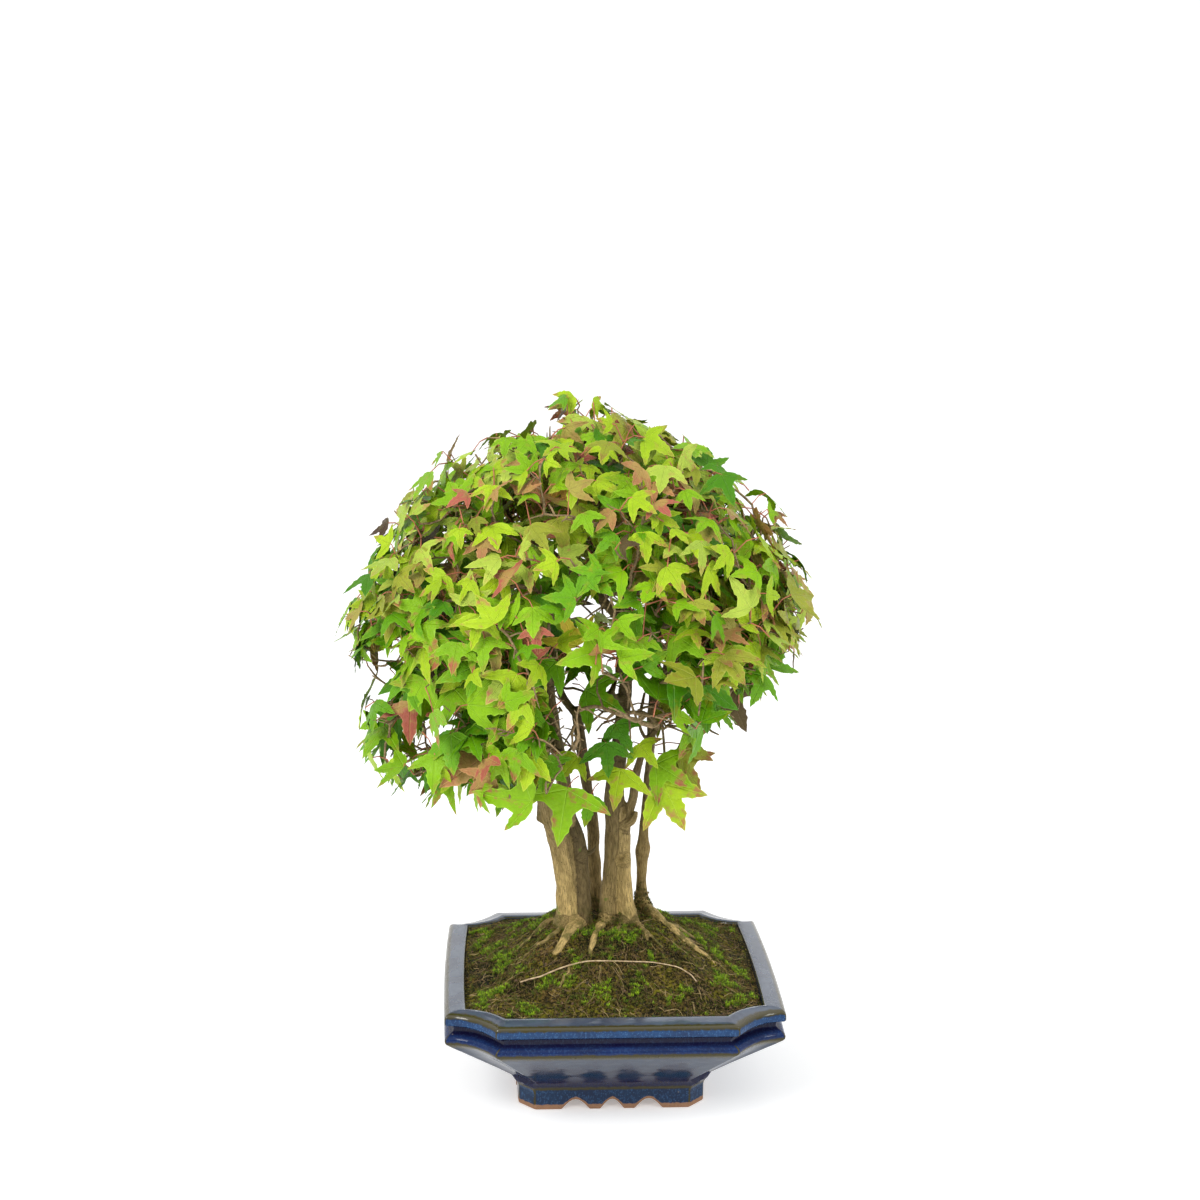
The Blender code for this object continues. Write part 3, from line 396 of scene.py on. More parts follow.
# The crown's lower edge as seen from the front: x, and height where y is 0.
LEAF_FLOOR = (
    (-250, 395), (-232, 352), (-222, 318), (-205, 258), (-165, 266), (-121, 274), (-95, 262),
    (-70, 252), (-50, 262), (-20, 300), (0, 322), (30, 322), (50, 308), (75, 300), (92, 316),
    (112, 334), (149, 376), (164, 400), (178, 424), (200, 450),
)
# The crown's upper edge as seen from the front, in the same way.
LEAF_ROOF = (
    (-246, 376), (-229, 416), (-213, 452), (-200, 474), (-193, 495), (-177, 524), (-152, 549),
    (-119, 563), (-100, 578), (-70, 586), (-53, 597), (-28, 606), (1, 597), (26, 590), (52, 572),
    (74, 557), (87, 542), (104, 526), (124, 519), (139, 507), (157, 478), (166, 440), (180, 396),
)


# ---- settings
def colour_property(name, description, default):
    return FloatVectorProperty(
        name=name, description=description, default=default, size=3, min=0.0, max=1.0, subtype="COLOR",
    )


def count_property(name, description, default, low=0):
    return IntProperty(name=name, description=description, default=default, min=low)


def length_property(name, description, default, low=0.0):
    return FloatProperty(name=name, description=description, default=default, min=low, unit="LENGTH")


def power_property(name, description, default):
    return FloatProperty(name=name, description=description, default=default, min=0.0, unit="POWER")


class MAPLE_PG_pot(bpy.types.PropertyGroup):
    """Colours of the glazed pot."""

    slope: colour_property("Slope", "Glaze on the sloping sides", (0.008, 0.028, 0.060))
    face: colour_property("Rim face", "Glaze on the rim's upright face", (0.014, 0.052, 0.145))
    # Also used low on the slope's curve as painted shade.
    groove: colour_property("Groove", "Glaze in the groove under the rim", (0.007, 0.006, 0.034))
    flange: colour_property("Flange", "Glaze on the lower flange", (0.010, 0.025, 0.098))
    foot: colour_property("Foot", "Glaze on the foot band", (0.014, 0.036, 0.082))
    rim: colour_property("Rim top", "Glaze on top of the rim", (0.085, 0.110, 0.160))
    thin: colour_property("Thin glaze", "Where the glaze runs thin over an edge", (0.050, 0.042, 0.014))
    clay: colour_property("Clay", "Bare fired clay", (0.34, 0.185, 0.105))


class MAPLE_PG_ground(bpy.types.PropertyGroup):
    """Soil, moss and litter."""

    tufts: count_property("Moss tufts", "Number of moss tufts", 11000)
    climbing: count_property("Moss on bark", "Tufts tried at the trunks' feet", 5000)
    rootlets: count_property("Rootlets", "Number of fine roots on the soil", 1150)
    crumbs: count_property("Crumbs", "Number of soil crumbs", 1500)
    dark: colour_property("Dark soil", "Moist soil", (0.022, 0.016, 0.003))
    light: colour_property("Light soil", "Drier soil", (0.215, 0.138, 0.036))
    film: colour_property("Moss film", "Green film on the soil", (0.170, 0.165, 0.005))


class MAPLE_PG_bark(bpy.types.PropertyGroup):
    """Trunks, boughs and surface roots."""

    voxel: length_property("Skin step", "Size of the steps in the bark's skin", 0.00115, 0.0005)
    relief: length_property("Relief", "Depth of the bark's furrows", 0.0008)
    light: colour_property("Light bark", "Bark low on the trunks", (0.740, 0.530, 0.205))
    dark: colour_property("Dark bark", "Bark in the furrows", (0.125, 0.088, 0.028))
    # Painted shade: the darker colour that the limbs take on up in the crown's shade.
    high: colour_property("Crown bark", "Bark inside the crown", (0.300, 0.222, 0.108))


class MAPLE_PG_crown(bpy.types.PropertyGroup):
    """Twigs and leaves."""

    seed: IntProperty(name="Seed", description="Seed of the crown's growth", default=7)
    sprays: count_property("Sprays", "Shoots in each full foliage mass", 50, 1)
    leaf_short: length_property("Short leaf", "Length of the shortest leaf blade", 0.023, 0.005)
    leaf_long: length_property("Long leaf", "Longest leaf blade high in the crown", 0.037, 0.005)
    leaf_low: length_property("Low leaf", "Longest leaf blade at the crown's lower edge", 0.050, 0.005)
    petiole: colour_property("Leaf stalk", "Leaf stalks", (0.54, 0.170, 0.085))
    twig: colour_property("Twig", "Fine twigs", (0.320, 0.220, 0.105))


class MAPLE_PG_stage(bpy.types.PropertyGroup):
    """Floor, lights and camera."""

    floor: colour_property("Floor", "Floor and backdrop", (0.86, 0.86, 0.86))
    glow: FloatProperty(
        name="Glow", description="Light that the backdrop gives off itself", default=0.32, min=0.0,
    )
    world: FloatProperty(name="Sky", description="Strength of the even light", default=0.95, min=0.0)
    front: FloatProperty(
        name="Front", description="Share of the even light that comes from the front", default=0.28,
        min=0.0, max=1.0,
    )
    key: power_property("Key", "Power of the large light from the left", 42.0)
    fill: power_property("Fill", "Power of the light from the front right", 22.0)
    lens: FloatProperty(
        name="Lens", description="Focal length of the camera", default=58.355, min=10.0, unit="CAMERA",
    )


# ---- meshes
def ramp(offset, span):
    """Share of a span that an offset has covered, from 0 to 1."""
    return min(max(offset / span, 0.0), 1.0)


def deselect():
    if bpy.context.object is not None and bpy.context.object.mode != "OBJECT":
        bpy.ops.object.mode_set(mode="OBJECT")
    bpy.ops.object.select_all(action="DESELECT")


def make_active(item):
    deselect()
    item.select_set(True)
    bpy.context.view_layer.objects.active = item


def apply_modifier(item, kind, **settings):
    make_active(item)
    step = item.modifiers.new(kind.lower(), kind)
    for name, value in settings.items():
        setattr(step, name, value)
    bpy.ops.object.modifier_apply(modifier=step.name)


def shade(item, angle):
    make_active(item)
    bpy.ops.object.shade_smooth_by_angle(angle=math.radians(angle))


def drawn_rings(name, rings, close_start, close_end):
    """A shell through closed rings: a circle on the first, extruded to each next one."""
    deselect()
    count = len(rings[0])
    bpy.ops.mesh.primitive_circle_add(vertices=count, radius=0.1, fill_type="NOTHING")
    item = bpy.context.object
    item.name = name
    item.data.name = name
    item.data.vertices.foreach_set("co", np.array(rings[0], float).ravel())
    bpy.ops.object.mode_set(mode="EDIT")
    bpy.ops.mesh.select_mode(type="EDGE")
    bpy.ops.mesh.select_all(action="SELECT")
    if close_start:
        bpy.ops.mesh.edge_face_add()
        bpy.ops.mesh.select_all(action="SELECT")
    order = list(range(count))
    for ring in rings[1:]:
        before = len(bmesh.from_edit_mesh(item.data).verts)
        bpy.ops.mesh.extrude_edges_move()
        work = bmesh.from_edit_mesh(item.data)
        work.verts.ensure_lookup_table()
        following = []
        for index, point in zip(order, ring):
            for edge in work.verts[index].link_edges:
                other = edge.other_vert(work.verts[index])
                if other.index >= before:
                    other.co = point
                    following.append(other.index)
        order = following
        bmesh.update_edit_mesh(item.data)
    if close_end:
        bpy.ops.mesh.edge_face_add()
    bpy.ops.mesh.select_all(action="SELECT")
    bpy.ops.mesh.normals_make_consistent(inside=False)
    bpy.ops.object.mode_set(mode="OBJECT")
    return item


def tubes(name, paths, resolution):
    """One mesh of capped tubes along paths of (x, y, z, radius)."""
    deselect()
    bpy.ops.curve.primitive_nurbs_path_add()
    item = bpy.context.object
    curve = item.data
    curve.splines.clear()
    curve.bevel_depth = 1.0
    curve.bevel_resolution = resolution
    curve.use_fill_caps = True
    for path in paths:
        spline = curve.splines.new("POLY")
        spline.points.add(len(path) - 1)
        rows = np.array([tuple(row[:3]) + (1.0,) for row in path], np.float32)
        spline.points.foreach_set("co", rows.ravel())
        spline.points.foreach_set("radius", np.array([row[3] for row in path], np.float32))
    make_active(item)
    bpy.ops.object.convert(target="MESH")
    item = bpy.context.object
    item.name = name
    item.data.name = name
    return item


def point_values(mesh, label, kind, field, values):
    layer = mesh.attributes.new(label, kind, "POINT")
    layer.data.foreach_set(field, np.array(values, np.float32).ravel())


def mesh_from(name, vertices, faces):
    mesh = bpy.data.meshes.new(name)
    mesh.from_pydata(vertices, [], faces)
    mesh.update()
    item = bpy.data.objects.new(name, mesh)
    bpy.context.scene.collection.objects.link(item)
    return item


def point_tree(points):
    """A search tree whose numbers are the points' places in the list."""
    tree = KDTree(len(points))
    for index, point in enumerate(points):
        tree.insert(point, index)
    tree.balance()
    return tree


def smooth_path(stations, steps):
    """Points through the stations on a Catmull-Rom curve."""
    points = [tuple(stations[0])]
    last = len(stations) - 1
    for index in range(last):
        before = stations[max(index - 1, 0)]
        start, end = stations[index], stations[index + 1]
        after = stations[min(index + 2, last)]
        for step in range(1, steps + 1):
            t = step / steps
            points.append(tuple(
                0.5 * (
                    2 * b + (c - a) * t + (2 * a - 5 * b + 4 * c - d) * t ** 2
                    + (3 * b - a - 3 * c + d) * t ** 3
                )
                for a, b, c, d in zip(before, start, end, after)
            ))
    return points


def finish_piece(item, material, nodes=(), angle=None):
    """Give a piece its material, smooth it below an angle and tell the frame what it is."""
    if material is not None:
        item.data.materials.append(material)
    if angle is not None:
        shade(item, angle)
    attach(item, "root")
    if nodes:
        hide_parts(*nodes)


# ---- materials
class Wiring:
    """Places nodes in a tree and joins their sockets."""

    def __init__(self, tree):
        self.tree = tree
        self.shader = tree.nodes.get("Principled BSDF")

    def add(self, kind, inputs=(), **settings):
        node = self.tree.nodes.new(kind)
        for name, value in settings.items():
            setattr(node, name, value)
        for socket, value in dict(inputs).items():
            self.join(value, node.inputs[socket])
        return node

    def join(self, value, socket):
        if isinstance(value, bpy.types.NodeSocket):
            self.tree.links.new(value, socket)
        elif socket.type == "RGBA" and len(value) == 3:
            socket.default_value = (*value, 1.0)
        else:
            socket.default_value = value

    def attribute(self, name, output="Fac"):
        return self.add("ShaderNodeAttribute", attribute_name=name).outputs[output]

    def split(self, vector):
        return self.add("ShaderNodeSeparateXYZ", {"Vector": vector}).outputs

    def put(self, name, value):
        self.join(value, self.shader.inputs[name])

    def group(self, tree, inputs, output):
        node = self.add("ShaderNodeGroup", node_tree=tree)
        for name, value in inputs.items():
            self.join(value, node.inputs[name])
        return node.outputs[output]

    def maths(self, operation, first, second=0.0):
        node = self.add("ShaderNodeMath", {0: first, 1: second}, operation=operation)
        return node.outputs[0]

    def plus(self, first, second):
        return self.maths("ADD", first, second)

    def minus(self, first, second):
        return self.maths("SUBTRACT", first, second)

    def times(self, first, second):
        return self.maths("MULTIPLY", first, second)

    def blend(self, share, first, second, kind="MIX"):
        node = self.add("ShaderNodeMix", data_type="RGBA", blend_type=kind)
        self.join(share, node.inputs[0])
        self.join(first, node.inputs[6])
        self.join(second, node.inputs[7])
        return node.outputs[2]

    def tint(self, mask, strength, first, second):
        return self.blend(self.times(mask, strength), first, second)

    def spread(self, value, low, high, to_low=0.0, to_high=1.0):
        node = self.add("ShaderNodeMapRange", {
            "Value": value, "From Min": low, "From Max": high, "To Min": to_low, "To Max": to_high,
        }, interpolation_type="SMOOTHSTEP")
        return node.outputs["Result"]


def new_group(name, inputs, outputs):
    """A shader node group and its net; sockets are (name, kind, default)."""
    tree = bpy.data.node_groups.new(name, "ShaderNodeTree")
    for label, kind, default in inputs:
        socket = tree.interface.new_socket(label, in_out="INPUT", socket_type=kind)
        if default is not None:
            socket.default_value = default
    for label, kind in outputs:
        tree.interface.new_socket(label, in_out="OUTPUT", socket_type=kind)
    net = Wiring(tree)
    return tree, net, net.add("NodeGroupInput"), net.add("NodeGroupOutput")


def mottle_group():
    """Soft patches: a mask from noise between two thresholds."""
    if "mottle" in bpy.data.node_groups:
        return bpy.data.node_groups["mottle"]
    tree, net, entry, out = new_group("mottle", (
        ("Vector", "NodeSocketVector", None), ("Scale", "NodeSocketFloat", 100.0),
        ("Detail", "NodeSocketFloat", 3.0), ("Low", "NodeSocketFloat", 0.35),
        ("High", "NodeSocketFloat", 0.65),
    ), (("Mask", "NodeSocketFloat"),))
    pattern = net.add("ShaderNodeTexNoise", {
        "Vector": entry.outputs["Vector"], "Scale": entry.outputs["Scale"],
        "Detail": entry.outputs["Detail"], "Roughness": 0.6,
    })
    mask = net.spread(pattern.outputs["Fac"], entry.outputs["Low"], entry.outputs["High"])
    net.join(mask, out.inputs["Mask"])
    return tree


def patchy(net, vector, scale, detail, low, high):
    """The mottle group's mask."""
    return net.group(mottle_group(), {
        "Vector": vector, "Scale": scale, "Detail": detail, "Low": low, "High": high,
    }, "Mask")


def speckle_group():
    """Small round spots of uneven size."""
    if "speckle" in bpy.data.node_groups:
        return bpy.data.node_groups["speckle"]
    tree, net, entry, out = new_group("speckle", (
        ("Vector", "NodeSocketVector", None), ("Scale", "NodeSocketFloat", 400.0),
        ("Size", "NodeSocketFloat", 0.35), ("Amount", "NodeSocketFloat", 0.5),
    ), (("Mask", "NodeSocketFloat"),))
    cells = net.add("ShaderNodeTexVoronoi", {
        "Vector": entry.outputs["Vector"], "Scale": entry.outputs["Scale"], "Randomness": 1.0,
    })
    near = net.minus(entry.outputs["Size"], cells.outputs["Distance"])
    spot = net.spread(near, 0.0, 0.15)
    shade_of = net.add("ShaderNodeSeparateColor", {"Color": cells.outputs["Color"]})
    kept = net.maths("LESS_THAN", shade_of.outputs[0], entry.outputs["Amount"])
    net.join(net.times(spot, kept), out.inputs["Mask"])
    return tree


def speckled(net, vector, scale, size, amount):
    """The speckle group's mask."""
    return net.group(speckle_group(), {
        "Vector": vector, "Scale": scale, "Size": size, "Amount": amount,
    }, "Mask")


def new_material(name):
    material = bpy.data.materials.new(name)
    material.use_nodes = True
    net = Wiring(material.node_tree)
    return material, net, net.add("ShaderNodeTexCoord").outputs["Object"]


def stretched(net, vector, scale):
    """Coordinates scaled along each axis, for patterns longer than wide."""
    node = net.add("ShaderNodeMapping", {"Vector": vector, "Scale": scale})
    return node.outputs["Vector"]


def bump(net, height, distance, strength=1.0):
    node = net.add("ShaderNodeBump", {
        "Height": height, "Distance": distance, "Strength": strength,
    })
    net.put("Normal", node.outputs["Normal"])


def arch_heights(net, place):
    """Height of the bare clay's edge: it follows each arch along the front and the sides."""
    split = net.split(place)
    height = 2.4 * MM
    for axis, centre in (("X", STAND.x), ("Y", STAND.y)):
        away = net.maths("ABSOLUTE", net.minus(split[axis], centre))
        for middle, half, top in ARCHES[1:]:
            off = net.maths("ABSOLUTE", net.minus(away, middle * MM))
            share = net.maths("POWER", net.maths("DIVIDE", off, half * MM), 1.5)
            rise = net.minus(top * MM, net.times(share, top * MM))
            height = net.maths("MAXIMUM", height, rise)
    return height


def glaze_material(settings):
    """Running blue glaze: deep where it pools and, as painted shade, on the slope's lower curve; olive where
    it thins, bare clay below.
    """
    material, net, place = new_material("pot_glaze")
    base = net.add("ShaderNodeAttribute", attribute_name="glaze")
    lip = net.attribute("thin")
    band = base.outputs["Alpha"]
    clouds = patchy(net, place, 38.0, 4.0, 0.3, 0.7)
    colour = net.tint(clouds, 0.55, base.outputs["Color"], (0.010, 0.014, 0.040))
    runs = patchy(net, stretched(net, place, (1.0, 1.0, 0.45)), 520.0, 3.0, 0.50, 0.80)
    spots = speckled(net, place, 620.0, 0.42, 0.6)
    flecks = net.times(net.maths("MAXIMUM", runs, net.times(spots, 0.6)), band)
    colour = net.tint(flecks, 0.75, colour, (0.060, 0.150, 0.320))
    ragged = patchy(net, place, 210.0, 4.0, 0.25, 0.75)
    edge = net.spread(net.plus(lip, net.times(ragged, 0.35)), 0.45, 1.05)
    colour = net.blend(edge, colour, settings.thin)
    pits = speckled(net, place, 95.0, 0.10, 0.12)
    colour = net.tint(pits, 0.7, colour, (0.42, 0.40, 0.36))
    height = net.split(place)["Z"]
    wavy = net.plus(height, net.times(ragged, -0.0012))
    above = net.minus(wavy, arch_heights(net, place))
    bare = net.spread(above, 0.0012, 0.0022, 1.0, 0.0)
    grit = patchy(net, place, 900.0, 3.0, 0.3, 0.7)
    clay = net.tint(grit, 0.5, settings.clay, (0.20, 0.105, 0.060))
    colour = net.blend(bare, colour, clay)
    net.put("Base Color", colour)
    gloss = net.spread(clouds, 0.0, 1.0, 0.09, 0.17)
    gloss = net.plus(gloss, net.times(edge, 0.12))
    gloss = net.plus(gloss, net.times(bare, 0.65))
    net.put("Roughness", gloss)
    skin = patchy(net, place, 70.0, 1.0, 0.1, 0.9)
    skin = net.plus(skin, net.times(grit, bare))
    skin = net.minus(skin, net.times(pits, 1.5))
    bump(net, skin, 0.00016)
    net.put("IOR", 1.25)
    top = net.spread(height, 0.0995, 0.1030, 0.03, 0.80)
    net.put("Coat Weight", top)
    net.put("Coat IOR", 1.75)
    net.put("Coat Roughness", 0.08)
    return material


def clay_material(settings):
    material, net, place = new_material("pot_clay")
    grit = patchy(net, place, 700.0, 4.0, 0.3, 0.7)
    stain = patchy(net, place, 60.0, 3.0, 0.4, 0.7)
    colour = net.tint(grit, 0.45, settings.clay, (0.22, 0.115, 0.065))
    colour = net.tint(stain, 0.4, colour, (0.12, 0.075, 0.045))
    net.put("Base Color", colour)
    net.put("Roughness", net.spread(grit, 0.0, 1.0, 0.78, 0.92))
    bump(net, grit, 0.0002)
    return material


def soil_material(settings):
    material, net, place = new_material("moist_soil")
    patches = patchy(net, place, 42.0, 5.0, 0.38, 0.62)
    crumbs = patchy(net, place, 330.0, 5.0, 0.44, 0.58)
    fibres = patchy(net, stretched(net, place, (1.0, 0.35, 1.0)), 900.0, 3.0, 0.52, 0.70)
    film = patchy(net, place, 30.0, 5.0, 0.36, 0.60)
    colour = net.blend(patches, settings.dark, settings.light)
    wet = patchy(net, place, 24.0, 5.0, 0.50, 0.62)
    colour = net.tint(film, 0.75, colour, settings.film)
    colour = net.tint(wet, 0.9, colour, (0.016, 0.017, 0.003))
    # Near-black where the soil sinks in small hollows: dark crumbs of moist soil, and painted shade in the
    # hollows.
    colour = net.tint(crumbs, 0.9, colour, (0.008, 0.007, 0.002))
    colour = net.tint(fibres, 0.75, colour, (0.42, 0.300, 0.100))
    net.put("Base Color", colour)
    net.put("Specular IOR Level", 0.15)
    net.put("Roughness", net.spread(patches, 0.0, 1.0, 0.75, 0.98))
    height = net.minus(net.times(fibres, 0.6), crumbs)
    bump(net, height, 0.0018)
    return material


def bark_material(settings):
    """Grained bark: furrows that follow each limb, dark specks, and painted shade that darkens it up in the
    crown.
    """
    material, net, place = new_material("maple_bark")
    along = net.attribute("grain", "Vector")
    lines = patchy(net, stretched(net, along, (1.0, 1.0, 0.16)), 950.0, 4.0, 0.34, 0.66)
    broad = patchy(net, stretched(net, along, (1.0, 1.0, 0.30)), 130.0, 4.0, 0.35, 0.68)
    specks = speckled(net, stretched(net, along, (1.0, 1.0, 0.55)), 780.0, 0.30, 0.30)
    height = net.split(place)["Z"]
    # Higher up the bark blends into the crown bark colour: painted shade where the crown shades the limbs.
    crown_shade_share = net.spread(height, SOIL_TOP + 0.01, SOIL_TOP + 0.16)
    colour = net.blend(crown_shade_share, settings.light, settings.high)
    own = net.attribute("tone")
    colour = net.tint(broad, 0.42, colour, settings.dark)
    colour = net.tint(lines, 0.60, colour, settings.dark)
    colour = net.tint(specks, 0.75, colour, (0.040, 0.028, 0.012))
    # Each stem's tone darkens its bark: partly its own tone, partly painted shade.
    colour = net.blend(own, colour, (0.25, 0.25, 0.27), "MULTIPLY")
    foot = net.spread(height, SOIL_TOP - 0.004, SOIL_TOP + 0.024, 1.0, 0.0)
    damp = patchy(net, place, 150.0, 4.0, 0.42, 0.6)
    colour = net.blend(net.times(net.times(foot, damp), 0.75), colour, (0.075, 0.080, 0.014))
    moss = patchy(net, place, 60.0, 3.0, 0.66, 0.72)
    colour = net.tint(moss, 0.7, colour, (0.115, 0.190, 0.020))
    net.put("Base Color", colour)
    net.put("Roughness", net.spread(broad, 0.0, 1.0, 0.72, 0.90))
    relief = net.plus(net.times(lines, -0.7), net.times(specks, -0.8))
    bump(net, relief, 0.0006)
    net.put("Specular IOR Level", 0.25)
    return material


def plain_grain_material(name, colour, dark, scale, rough):
    """A small thing's finish: two tones in fine patches, and a fine relief."""
    material, net, place = new_material(name)
    patches = patchy(net, place, scale, 3.0, 0.35, 0.65)
    net.put("Base Color", net.blend(patches, colour, dark))
    net.put("Roughness", net.spread(patches, 0.0, 1.0, rough - 0.08, rough + 0.08))
    bump(net, patches, 0.0003, 0.6)
    return material


def vein_group():
    """Three main veins that run from the leaf's foot to its lobe tips, in its own map."""
    if "veins" in bpy.data.node_groups:
        return bpy.data.node_groups["veins"]
    tree, net, entry, out = new_group("veins", (
        ("Vector", "NodeSocketVector", None), ("Width", "NodeSocketFloat", 0.02),
    ), (("Mask", "NodeSocketFloat"),))
    split = net.split(entry.outputs["Vector"])
    side = net.maths("ABSOLUTE", net.minus(split["X"], 0.5))
    angle = math.radians(EVEN_FORM[0])
    along, back = net.times(side, math.cos(angle)), net.times(split["Y"], math.sin(angle))
    lobe = net.minus(along, back)
    near = net.maths("MINIMUM", side, net.maths("ABSOLUTE", lobe))
    net.join(net.spread(near, 0.0, entry.outputs["Width"], 1.0, 0.0), out.inputs["Mask"])
    return tree


def leaf_material(name, colour, blush, turned, start):
    """A leaf's own tone, a little uneven, with pale veins and margin and turned lobe tips."""
    material, net, place = new_material(name)
    patches = patchy(net, place, 70.0, 4.0, 0.3, 0.7)
    own_shade = net.attribute("shade")
    uneven = net.plus(net.times(patches, 0.45), net.times(own_shade, 0.55))
    darker = tuple(part * share for part, share in zip(colour, (0.60, 0.70, 0.6)))
    tone = net.blend(uneven, colour, darker)
    own = net.add("ShaderNodeUVMap", uv_map="leaf").outputs["UV"]
    away = net.add("ShaderNodeVectorMath", {0: own, 1: (0.5, 0.0, 0.0)}, operation="DISTANCE")
    margin = net.attribute("margin")
    ragged = patchy(net, place, 75.0, 5.0, 0.25, 0.75)
    reach = net.plus(away.outputs["Value"], net.times(ragged, 0.95))
    reach = net.plus(reach, net.times(margin, 0.12))
    amount = net.spread(reach, start, start + 0.45, 0.0, turned)
    blots = net.times(patchy(net, place, 120.0, 5.0, 0.56, 0.68), turned * 0.62)
    cells = patchy(net, own, 9.0, 3.0, 0.3, 0.7)
    tone = net.tint(cells, 0.28, tone, darker)
    tone = net.blend(net.maths("MAXIMUM", amount, blots), tone, blush)
    veins = net.group(vein_group(), {"Vector": own, "Width": 0.022}, "Mask")
    pale = tuple(min(part * 1.3 + 0.05, 1.0) for part in colour)
    rim = net.times(net.spread(margin, 0.84, 0.98), 0.45)
    tone = net.blend(net.maths("MAXIMUM", net.times(veins, 0.42), rim), tone, pale)
    net.put("Base Color", tone)
    net.put("Roughness", net.spread(patches, 0.0, 1.0, 0.36, 0.52))
    net.put("Specular IOR Level", 0.20)
    relief = net.plus(net.times(cells, 0.6), net.times(veins, -1.0))
    bump(net, relief, 0.0007, 0.8)
    return material


# ---- pot
def notched_outline(inset, notch):
    """The pot's outline in plan, anticlockwise, with hollow corners and rounded tips."""
    half_width = POT_WIDTH / 2 - inset
    half_depth = POT_DEPTH / 2 - inset
    along_front, along_side, power = notch
    hollow = []
    for step in range(NOTCH_STEPS + 1):
        share = step / NOTCH_STEPS
        hollow.append(Vector((
            half_width - along_front * share, half_depth - along_side * (1 - share ** power),
        )))
    rounding = min(1.6, inset * 0.02 + 1.2)
    corner = rounded_tip(Vector((hollow[0].x, 0.0)), hollow[0], hollow[1], rounding)
    corner += hollow[1:-1]
    corner += rounded_tip(hollow[-2], hollow[-1], Vector((0.0, half_depth)), rounding)
    half = list(corner)
    half += straight(corner[-1], Vector((-corner[-1].x, corner[-1].y)))
    mirrored = [Vector((-p.x, p.y)) for p in reversed(corner)]
    half += mirrored
    half += straight(mirrored[-1], Vector((mirrored[-1].x, -mirrored[-1].y)))
    full = half + [Vector((-p.x, -p.y)) for p in half]
    for point in full:
        if abs(point.x) > half_width - 0.9:
            reach = half_depth - along_side
            point.x += math.copysign(SIDE_BOW * max(0.0, 1 - (point.y / reach) ** 2), point.x)
    return full


def rounded_tip(before, tip, after, size):
    start = tip + (before - tip).normalized() * size
    end = tip + (after - tip).normalized() * size
    points = []
    for step in range(TIP_STEPS + 1):
        t = step / TIP_STEPS
        points.append(start * (1 - t) ** 2 + tip * 2 * t * (1 - t) + end * t ** 2)
    return points


def straight(start, end):
    return [start.lerp(end, step / SIDE_STEPS) for step in range(1, SIDE_STEPS)]


def level_ring(height, inset, notch):
    return [STAND + Vector((p.x, p.y, height)) * MM for p in notched_outline(inset, notch)]


def arch_cutter(middle, half, top, across):
    """A long rounded prism that cuts one arch through the apron between the feet."""
    line = [(middle + half * w, top * h) for w, h in ARCH_LINE]
    line += [(2 * middle - x, z) for x, z in reversed(line[:-1])]
    rings = []
    for end in (-120.0, 120.0):
        ring = []
        for offset, height in line:
            place = (-end, -offset, height) if across else (offset, -end, height)
            ring.append(STAND + Vector(place) * MM)
        rings.append(ring)
    return drawn_rings("arch", rings, True, True)


class MAPLE_OT_pot(bpy.types.Operator):
    """Build the glazed pot with its notched corners, groove, flange and feet"""

    bl_idname = "maple.pot"
    bl_label = "Pot"

    def execute(self, context):
        settings = context.scene.maple_pot
        rings = [level_ring(height, inset, notch) for height, inset, notch, _, _ in POT_PROFILE]
        pot = drawn_rings("glazed_pot", rings, True, True)
        clay = clay_material(settings)
        pot.data.materials.append(glaze_material(settings))
        pot.data.materials.append(clay)
        for middle, half, top in ARCHES:
            for across in (False, True):
                cutter = arch_cutter(middle, half, top, across)
                cutter.data.materials.append(clay)
                apply_modifier(
                    pot, "BOOLEAN", operation="DIFFERENCE", object=cutter, solver="EXACT",
                    material_mode="TRANSFER",
                )
                bpy.data.objects.remove(cutter, do_unlink=True)
        glaze_levels(pot, rings, settings)
        finish_piece(pot, None, ["pot"], 38)
        return {"FINISHED"}


def glaze_levels(pot, rings, settings):
    """Give each point the glaze of the level that it lies nearest to."""
    count = len(rings[0])
    tree = point_tree([point for ring in rings for point in ring])
    mesh = pot.data
    corner = 2 * TIP_STEPS + NOTCH_STEPS + 1
    run = SIDE_STEPS - 1
    edges = set()
    for number in range(4):
        first = number * (corner + run)
        for middle in (TIP_STEPS // 2, corner - 1 - TIP_STEPS // 2):
            edges.update(range(first + middle - 1, first + middle + 2))
    colours, thin = [], []
    for vertex in mesh.vertices:
        number = tree.find(vertex.co)[1]
        _, _, _, finish, share = POT_PROFILE[number // count]
        colours.append((*getattr(settings, finish), SPECKLED.get(finish, 0.03)))
        on_edge = number % count in edges and finish in ("foot", "face", "flange")
        thin.append(min(1.0, share + (0.75 if on_edge else 0.0)))
    point_values(mesh, "glaze", "FLOAT_COLOR", "color", colours)
    point_values(mesh, "thin", "FLOAT", "value", thin)


# ---- soil, moss and litter
def mound_height(share, y):
    """Soil level between the pot's edge and the trunks; it lies higher at the back."""
    fall = share ** MOUND_FALL
    edge = SOIL_EDGE + SOIL_BACK * ramp(y + BACK_HALF, 2 * BACK_HALF)
    return edge + (SOIL_TOP / MM - edge) * (0.72 * fall + 0.28 * math.sin(fall * math.pi / 2))


def mound_rings():
    edge = notched_outline(SOIL_INSET, INNER)
    rings = []
    for step in range(SOIL_RINGS + 1):
        share = step / SOIL_RINGS
        rings.append([STAND + Vector((*mound_point(p, share), mound_height(share, p.y))) * MM for p in edge])
    for shrink in (0.8, 0.6, 0.4, 0.2, 0.04):
        ring = []
        for p in edge:
            x, y = mound_point(p, 1.0)
            flat = Vector(MOUND_CENTRE).lerp(Vector((x, y)), shrink)
            ring.append(STAND + Vector((flat.x, flat.y, SOIL_TOP / MM)) * MM)
        rings.append(ring)
    return rings


